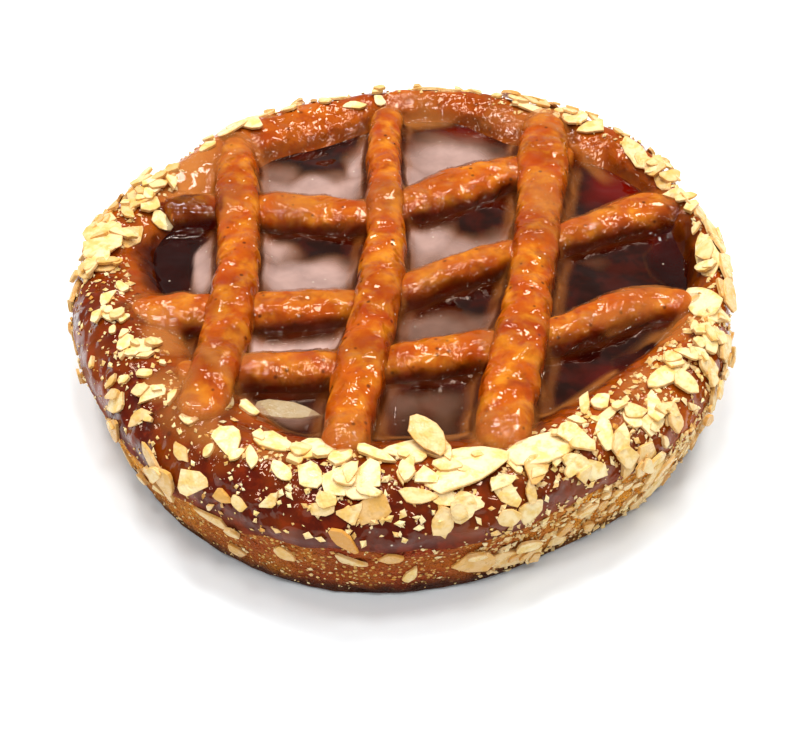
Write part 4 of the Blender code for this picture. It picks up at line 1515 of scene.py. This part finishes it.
@dataclass
class Almonds:
    """Almond flakes on the rim and side, one in the jam, one that leans on the rim, and chips.

    A row of the placed flakes gives bearing, share of the section, length, width,
    turn and toasting. A band gives two bearings, two shares, a count, the smallest
    and the largest size, and for flakes the toasting.
    """

    shape: CrustShape
    thickness: float = 0.66
    outline_points: int = 14
    seed: int = 7
    named: tuple[FlakeRow, ...] = (
        (280, .48, 12.5, 7.5, 8, 0), (246, .66, 6, 5, -60, 0), (254, .66, 6.5, 5.5, -75, 0),
        (258, .57, 5.3, 3.4, 45, 0), (255, .35, 4.8, 3.4, -30, 0), (259, .33, 6.5, 5.4, 25, 0),
        (264, .42, 7, 4.4, -15, 0), (265, .6, 6.2, 3, -35, 0), (270, .7, 8, 6, 85, 0),
        (274, .4, 5, 3, 65, 0), (270, .44, 6, 2, 64, .3), (266, .16, 6, 4, 35, .6),
        (262, .14, 4, 3.4, 48, .3), (258, .14, 3.7, 2.2, 16, .2), (262, 0, 7, 2.2, -50, .9),
        (272, .24, 5.4, 2.2, 0, .4), (277, .2, 4.8, 2.2, -5, .1), (280, .15, 4.6, 3.2, -20, .1),
        (262, -.3, 5.5, 3.6, -11, .3), (250, .37, 4, 2.4, -34, 0), (251, .5, 2.8, 2.7, -57, .4),
        (276, .8, 9, 4.5, -70, .1), (296, .44, 12.5, 5, 0, 0), (301, .38, 5.6, 4.4, -50, .1),
        (292, .27, 5.8, 3.4, 28, .6), (299, .16, 5.5, 3, -45, .1), (302, .07, 5.6, 3.6, -65, 0),
        (306, .29, 6.4, 3, 52, 0), (309, .22, 3.8, 2.3, 60, 0), (312, .68, 4, 3.6, 43, 0),
        (310, .8, 6.4, 1.6, 44, .2), (304, .6, 3.2, 2.3, -64, .1), (287, .15, 6.2, 2.8, -45, .1),
        (290, .14, 4.2, 1.6, 89, .3), (290, .02, 5.6, 3.4, 10, .1), (286, .03, 3.3, 2.8, -8, .2),
        (318, .33, 6.5, 3, 50, 0), (315, .17, 5, 3.2, 0, 0), (313, .33, 4.2, 2.5, 67, 0),
        (326, .44, 8.6, 3, -15, .1), (326, .22, 6, 3, -80, .1), (312, .03, 7.7, 3.5, -16, .3),
        (308, .04, 4.5, 3.3, 12, .4), (281, -.5, 7.6, 5, -43, .6), (288, -.7, 8.3, 3.9, -21, .4),
        (239, .42, 6.2, 4, -32, 0), (242, .36, 2.6, 1.9, 47, 0), (230, .75, 4.2, 4, -86, 0),
        (235, .9, 4.5, 3, -52, 0), (237, .05, 6.5, 3.6, 15, .1), (241, -.2, 8, 2.4, -15, .4),
        (242, .06, 3.9, 1.6, -15, .7), (243, -.7, 4.5, 3, -25, .6), (230, 0, 10, 2.2, -48, .4),
        (232, 0, 4.6, 3.5, -59, .5), (220, .33, 5, 3.4, -87, .2), (222, .17, 5, 2, 64, .4),
        (215, -.15, 8, 4.5, 48, .6), (216, .1, 5, 2.7, 62, .1), (208, .57, 5, 3.5, 77, .2),
        (206, .42, 4, 2.4, -32, 0), (199, .5, 2.8, 2.7, -17, 0), (197, .38, 4.5, 1.6, 10, 0),
        (197, .27, 3.4, 2, -31, 0), (164, .86, 5.2, 3.8, -65, .1), (172, .68, 7, 4, 0, .6),
        (174, .38, 9, 6, 40, .3), (169, .29, 7.5, 5, 48, .2), (178, .33, 7, 3.7, 78, .3),
        (182, .4, 5, 3.7, -68, .6), (162, .42, 7.6, 5.5, 0, .5), (158, .48, 6, 2.8, 37, .1),
        (131, .3, 9, 6, 46, .3), (127, .48, 6, 3.6, -14, .1), (121, .2, 6, 3, -23, .2),
        (116, .22, 6, 3.5, 74, .2), (105, .33, 6, 3, 0, .3), (102, .62, 5, 2, 3, .2),
        (96, .6, 3, 2.5, -7, .1), (85, .24, 8, 3, 0, .2), (80, .24, 4, 2.4, 0, .2),
        (65, .3, 5, 3.5, -78, .3), (60, .46, 8, 2.6, 10, .2), (52, .38, 7, 5, -80, .3),
        (47, .5, 8, 3.2, 40, .3), (35, .57, 9, 3, -15, .3), (30, .6, 7.4, 2.8, 0, .4),
        (24, .6, 7, 2.4, 0, .4), (18, .31, 8, 4, -40, .3), (13, .29, 7, 4, -40, .4),
        (0, .57, 10.5, 3.6, 0, 0), (358, .24, 9, 3.5, -7, .5), (348, .68, 9, 5, 30, 0),
        (350, .24, 7, 3.4, 13, .4), (338, .17, 6, 4, 45, .2), (336, .31, 6, 3, 0, .1))
    flake_bands: tuple[tuple[float, ...], ...] = (
        (250, 306, .05, .62, 26, 2.4, 5.0, .15), (306, 346, -.1, .6, 44, 2.2, 5.2, .2),
        (346, 372, -.1, .6, 24, 2.4, 6.0, .3), (12, 72, -.05, .6, 46, 2.4, 6.0, .35),
        (74, 140, .1, .45, 16, 2.4, 5.0, .3), (150, 187, -.1, .6, 48, 2.4, 6.0, .4),
        (188, 246, -.1, .7, 34, 1.8, 4.0, .25), (286, 345, -.8, -.05, 46, 2.0, 5.0, .4),
        (20, 200, -.6, -.05, 44, 2.4, 5.4, .4), (200, 286, -.7, -.1, 12, 2.2, 4.4, .5))
    chip_bands: tuple[tuple[float, ...], ...] = (
        (250, 306, 0, .7, 480, .5, 1.9), (306, 350, -.1, .8, 560, .5, 2.0),
        (350, 432, -.1, .6, 330, .5, 1.7), (75, 148, .1, .5, 90, .5, 1.5),
        (148, 190, -.1, .7, 330, .5, 1.8), (190, 250, -.1, .8, 420, .4, 1.5),
        (282, 350, -.92, 0, 1100, .5, 1.9), (0, 200, -.9, 0, 620, .5, 1.6),
        (200, 282, -.9, -.1, 300, .4, 1.2))
    jam_flake: tuple[float, ...] = (-19.6, -34.4, 9.6, 3.4, -10)
    leaning_flake: tuple[tuple[float, float, float], ...] = ((6.6, -48.6, 23.9), (1.1, -41.2, 24.5))
    leaning_width: float = 3.6
    swell: float = 1.22
    whole_length: float = 8.0

    def flakes(self, centre: Array, normal: Array, heading: Array, length: Array, width: Array,
               tone: Array, rng: np.random.Generator, whole: Array) -> Meshed:
        """Closed slices of almond, all worked out together.

        Each is an oval with one narrower end, cut back to straight broken edges
        unless it is whole, in four rings from the top's middle over the edge to
        the underside, and bent down along its length.

        Args:
            centre: Middle of each flake.
            normal: Direction that its top faces.
            heading: Direction of its length.
            length: Length of each.
            width: Width of each.
            tone: How toasted each is.
            rng: Source of the random draws.
            whole: Whether each is unbroken.

        Returns:
            Points, quads, triangles and marks.
        """
        number, around = len(centre), self.outline_points
        angles = ring_angles(around)
        length, width = self.swell * length, self.swell * width
        u = 0.5 * length[:, None] * np.cos(angles) * rng.uniform(0.84, 1.08, (number, around))
        v = 0.5 * width[:, None] * np.sin(angles) * (1.0 - 0.24 * np.cos(angles))
        v = v * rng.uniform(0.86, 1.08, (number, around))
        for _ in range(4):
            lean = rng.uniform(0, TURN, number)[:, None]
            reach = 0.5 * np.hypot(length[:, None] * np.cos(lean), width[:, None] * np.sin(lean))
            limit = reach * rng.uniform(0.38, 1.0, number)[:, None] + 9.0 * whole[:, None]
            excess = np.maximum(u * np.cos(lean) + v * np.sin(lean) - limit, 0.0)
            u, v = u - excess * np.cos(lean), v - excess * np.sin(lean)
        side = np.cross(normal, heading)
        half = 0.5 * self.thickness * rng.uniform(0.75, 1.15, number)
        bend = rng.uniform(0.002, 0.016, number)
        rings = []
        for scale, level in ((0.60, 1.05), (0.96, 0.95), (1.0, 0.5), (0.94, -1.0)):
            out = (scale * u, scale * v)
            lift = level * half[:, None] - bend[:, None] * out[0] ** 2 - 0.02 * out[1] ** 2
            rings.append(centre[:, None] + out[0][..., None] * heading[:, None]
                         + out[1][..., None] * side[:, None] + lift[..., None] * normal[:, None])
        rings = np.stack(rings, axis=1)[:, ::-1]
        top = centre + half[:, None] * normal
        bottom = centre - half[:, None] * normal
        points = np.concatenate([rings.reshape(number, -1, 3), bottom[:, None], top[:, None]], axis=1)
        quads, caps = capped_grid(4, around)
        offset = (np.arange(number) * points.shape[1])[:, None, None]
        edge = np.concatenate([np.repeat([0.6, 1.0, 0.35, 0.0], around), [0.6, 0.0]])
        marks = {"tone": np.repeat(tone, points.shape[1]), "edge": np.tile(edge, number)}
        return points, (quads[None] + offset).reshape(-1, 4), (caps[None] + offset).reshape(-1, 3), marks

    def frame_at(self, bearing: Array, share: Array) -> tuple[Array, Array, Array]:
        """Point on the crust, the normal there and the direction along the rim."""
        point, normal, _ = self.shape.surface(bearing, self.shape.rows_at(share))
        along = np.stack([-np.sin(bearing), np.cos(bearing), np.zeros_like(bearing)], axis=-1)
        return point, unit(normal), along

    def stacked(self, centre: Array, length: Array) -> Array:
        """How far each flake is raised by the earlier ones that it lies on.

        Args:
            centre: Middle of each flake.
            length: Length of each.

        Returns:
            The rise of each in millimetres.
        """
        apart = np.linalg.norm(centre[:, None] - centre[None], axis=2)
        near = apart < 0.30 * (length[:, None] + length[None])
        lift = np.zeros(len(centre))
        for i in range(1, len(centre)):
            under = near[i, :i]
            if under.any():
                lift[i] = min(lift[:i][under].max() + 0.5, 1.1)
        return lift

    def table(self, rng: np.random.Generator) -> Array:
        """Rows of the placed flakes and, after them, of those drawn by chance in bands.

        Args:
            rng: Source of the random draws.

        Returns:
            Bearing, share, length, width, turn, toasting and whether unbroken, row by row.
        """
        rows = [(*row, row[2] > self.whole_length) for row in self.named]
        for first, last, low, high, number, shortest, longest, toast in self.flake_bands:
            count = int(number)
            size = np.sort(rng.uniform(shortest, longest, count))[::-1]
            band = np.column_stack([rng.uniform(first, last, count), rng.uniform(low, high, count), size,
                                    size * rng.uniform(0.4, 0.75, count), rng.uniform(-90, 90, count),
                                    toast * rng.uniform(0.2, 1.8, count), np.zeros(count)])
            rows.extend(map(tuple, band))
        return np.array(rows, dtype=float)

    def build(self, maker: PieceMaker, jam: Jam) -> list[bpy.types.Object]:
        """Makes the flakes, then the chips.

        Args:
            maker: Maker of the pieces.
            jam: The jam, for the one flake that lies in it.

        Returns:
            The flake and chip pieces.
        """
        rng = np.random.default_rng(self.seed)
        bearing, share, length, width, turn, tone, whole = self.table(rng).T
        centre, normal, along = self.frame_at(np.radians(bearing), share)
        normal = unit(normal + 0.13 * rng.uniform(-1, 1, normal.shape))
        across = np.cross(normal, along)
        turn = np.radians(turn)[:, None]
        heading = np.cos(turn) * along + np.sin(turn) * across
        heading = unit(heading - (heading * normal).sum(axis=1, keepdims=True) * normal)
        centre = centre + (self.stacked(centre, length) + 0.28)[:, None] * normal
        x, y, jam_length, jam_width, jam_turn = self.jam_flake
        angle = math.radians(jam_turn)
        low_end, high_end = np.array(self.leaning_flake)
        lean = unit(low_end - high_end)
        centre = np.vstack([centre, [x, y, float(jam.height_at(np.array(x), np.array(y))) + 0.25],
                            0.5 * (low_end + high_end)])
        normal = np.vstack([normal, [0.0, 0.0, 1.0], unit(np.array([-0.1, -0.35, 1.0]))])
        normal[-1] = unit(normal[-1] - normal[-1].dot(lean) * lean)
        heading = np.vstack([heading, [math.cos(angle), math.sin(angle), 0.0], lean])
        length = np.append(length, [jam_length, np.linalg.norm(low_end - high_end) / self.swell])
        width = np.append(width, [jam_width, self.leaning_width])
        points, quads, caps, marks = self.flakes(centre, normal, heading, length, width,
                                                 np.clip(np.append(tone, [0.0, 0.45]), 0, 1), rng,
                                                 np.append(whole, [1.0, 1.0]))
        points = maker.moved_inside(points)
        marks["soaked"] = np.zeros(points.shape[:2])
        marks["soaked"][-2] = 1.0
        material = AlmondFinish().material()
        flakes = maker.piece("almond_flakes", points, quads, caps, material, marks)
        flakes.data.set_sharp_from_angle(angle=math.radians(32))
        chips = self.build_chips(maker, material, rng)
        return [flakes, chips]

    def build_chips(self, maker: PieceMaker, material: bpy.types.Material,
                    rng: np.random.Generator) -> bpy.types.Object:
        """Makes the small chips: uneven eight-sided grains scattered in bands.

        Args:
            maker: Maker of the pieces.
            material: Finish of the almonds.
            rng: Source of the random draws.

        Returns:
            The chip piece.
        """
        tables = []
        for first, last, low, high, count, shortest, longest in self.chip_bands:
            count = int(count)
            size = shortest + (longest - shortest) * rng.uniform(0, 1, count) ** 2.2
            places = [rng.uniform(first, last, count), rng.uniform(low, high, count)]
            tables.append(np.column_stack([*places, size]))
        bearing, share, size = np.vstack(tables).T
        centre, normal, along = self.frame_at(np.radians(bearing), share)
        turn = rng.uniform(0, TURN, len(size))[:, None]
        heading = np.cos(turn) * along + np.sin(turn) * np.cross(normal, along)
        side = np.cross(normal, heading)
        centre = centre + 0.12 * size[:, None] * normal
        corners = []
        for axis, sign, stretch in ((heading, 1, .5), (side, 1, .34), (heading, -1, .5), (side, -1, .34),
                                    (normal, 1, .26), (normal, -1, .26)):
            reach = (sign * stretch * size * rng.uniform(0.6, 1.25, len(size)))[:, None]
            corners.append(centre + reach * axis + 0.1 * size[:, None] * rng.uniform(-1, 1, centre.shape))
        points = maker.moved_inside(np.stack(corners, axis=1))
        faces = np.vstack([fan_faces(0, 4, 4, upwards=True), fan_faces(0, 4, 5, upwards=False)])
        offset = (np.arange(len(size)) * 6)[:, None, None]
        tone = np.repeat(np.clip(rng.normal(0.3, 0.25, len(size)), 0, 1), 6)
        plain = np.zeros(len(tone))
        triangles = (faces[None] + offset).reshape(-1, 3)
        made = maker.piece("almond_chips", points, np.zeros((0, 4), int), triangles, material,
                           {"tone": tone, "edge": plain, "soaked": plain})
        made.data.shade_flat()
        return made


@dataclass(frozen=True)
class LampArc:
    """Small soft boxes in an arc round the tartlet: bearings, elevation, distance, size and power."""

    name: str
    bearings: tuple[float, ...]
    elevation: float
    distance: float
    size: float
    power: float

    def places(self) -> list[Vector]:
        """Place of each box, from its bearing and the arc's elevation and distance."""
        rise = math.radians(self.elevation)
        flat, height = self.distance * math.cos(rise), self.distance * math.sin(rise)
        angles = [math.radians(bearing) for bearing in self.bearings]
        return [Vector((flat * math.cos(a), flat * math.sin(a), height)) for a in angles]


@dataclass
class Studio:
    """Plain pale floor, soft light and the camera."""

    floor_half: float = 1.5
    floor_colour: tuple[float, float, float, float] = (0.89, 0.93, 0.955, 1.0)
    floor_roughness: float = 0.9
    floor_shine: float = 0.1
    eye: tuple[float, float, float] = (0.0, -0.17745, 0.17103)
    aim: tuple[float, float, float] = (-0.000744, -0.004972, 0.0)
    lens: float = 57.29
    sensor: float = 36.0
    sky: float = 0.34
    lamps: tuple[LampArc, ...] = (
        LampArc("back_box", (50, 130), 60, 0.66, 0.118, 1.28),
        LampArc("side_box", (8, 90, 172), 76, 0.66, 0.100, 0.76),
        LampArc("front_box", (-58, -122), 66, 0.66, 0.088, 0.62),
        LampArc("fill_box", (-28, -152), 30, 0.80, 0.100, 0.62))

    def build(self) -> None:
        """Makes the floor, the world, the lamps and the camera."""
        half = self.floor_half
        mesh = bpy.data.meshes.new("floor")
        corners = [(-half, -half, 0), (half, -half, 0), (half, half, 0), (-half, half, 0)]
        mesh.from_pydata(corners, [], [(0, 1, 2, 3)])
        floor = bpy.data.objects.new("floor", mesh)
        bpy.context.scene.collection.objects.link(floor)
        finish = bpy.data.materials.new("floor_finish")
        finish.use_nodes = True
        shader = finish.node_tree.nodes["Principled BSDF"]
        shader.inputs["Base Color"].default_value = self.floor_colour
        shader.inputs["Roughness"].default_value = self.floor_roughness
        shader.inputs["Specular IOR Level"].default_value = self.floor_shine
        mesh.materials.append(finish)
        floor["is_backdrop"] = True
        world = bpy.data.worlds.new("studio")
        world.use_nodes = True
        sky = world.node_tree.nodes["Background"]
        sky.inputs["Color"].default_value = (1.0, 1.0, 1.0, 1.0)
        sky.inputs["Strength"].default_value = self.sky
        bpy.context.scene.world = world
        for arc in self.lamps:
            self.add_lamps(arc)
        self.add_camera()
        view = bpy.context.scene.view_settings
        view.view_transform = "Standard"
        view.look = "None"

    def add_lamps(self, arc: LampArc) -> None:
        """Hangs the square soft boxes of one arc, each facing the tartlet.

        Args:
            arc: The arc of boxes.
        """
        for number, place in enumerate(arc.places()):
            data = bpy.data.lights.new(f"{arc.name}_{number}", "AREA")
            data.size = arc.size
            data.energy = arc.power
            box = bpy.data.objects.new(data.name, data)
            box.location = place
            box.rotation_euler = (-place).to_track_quat("-Z", "Y").to_euler()
            bpy.context.scene.collection.objects.link(box)

    def add_camera(self) -> None:
        """Sets up the camera at the photograph's viewing angle."""
        data = bpy.data.cameras.new("camera")
        data.lens = self.lens
        data.sensor_width = self.sensor
        data.clip_start = 10.0 * MM
        camera = bpy.data.objects.new("camera", data)
        camera.location = self.eye
        camera.rotation_euler = (Vector(self.aim) - Vector(self.eye)).to_track_quat("-Z", "Y").to_euler()
        bpy.context.scene.collection.objects.link(camera)
        bpy.context.scene.camera = camera


def main() -> None:
    """Loads the frame, builds each sub-assembly in order and keeps the sizes."""
    logging.basicConfig(level=logging.INFO, format="%(name)s %(message)s")
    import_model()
    cad_low, cad_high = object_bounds()
    maker = PieceMaker(np.array(cad_low), np.array(cad_high))
    shape = CrustShape()
    Crust(shape).build(maker)
    jam = Jam(shape)
    lattice = Lattice(shape)
    jam.build(maker, lattice)
    lattice.build(maker)
    SugarGlaze(shape, jam, lattice).build(maker)
    Almonds(shape).build(maker, jam)
    Studio().build()


if __name__ == "__main__":
    main()
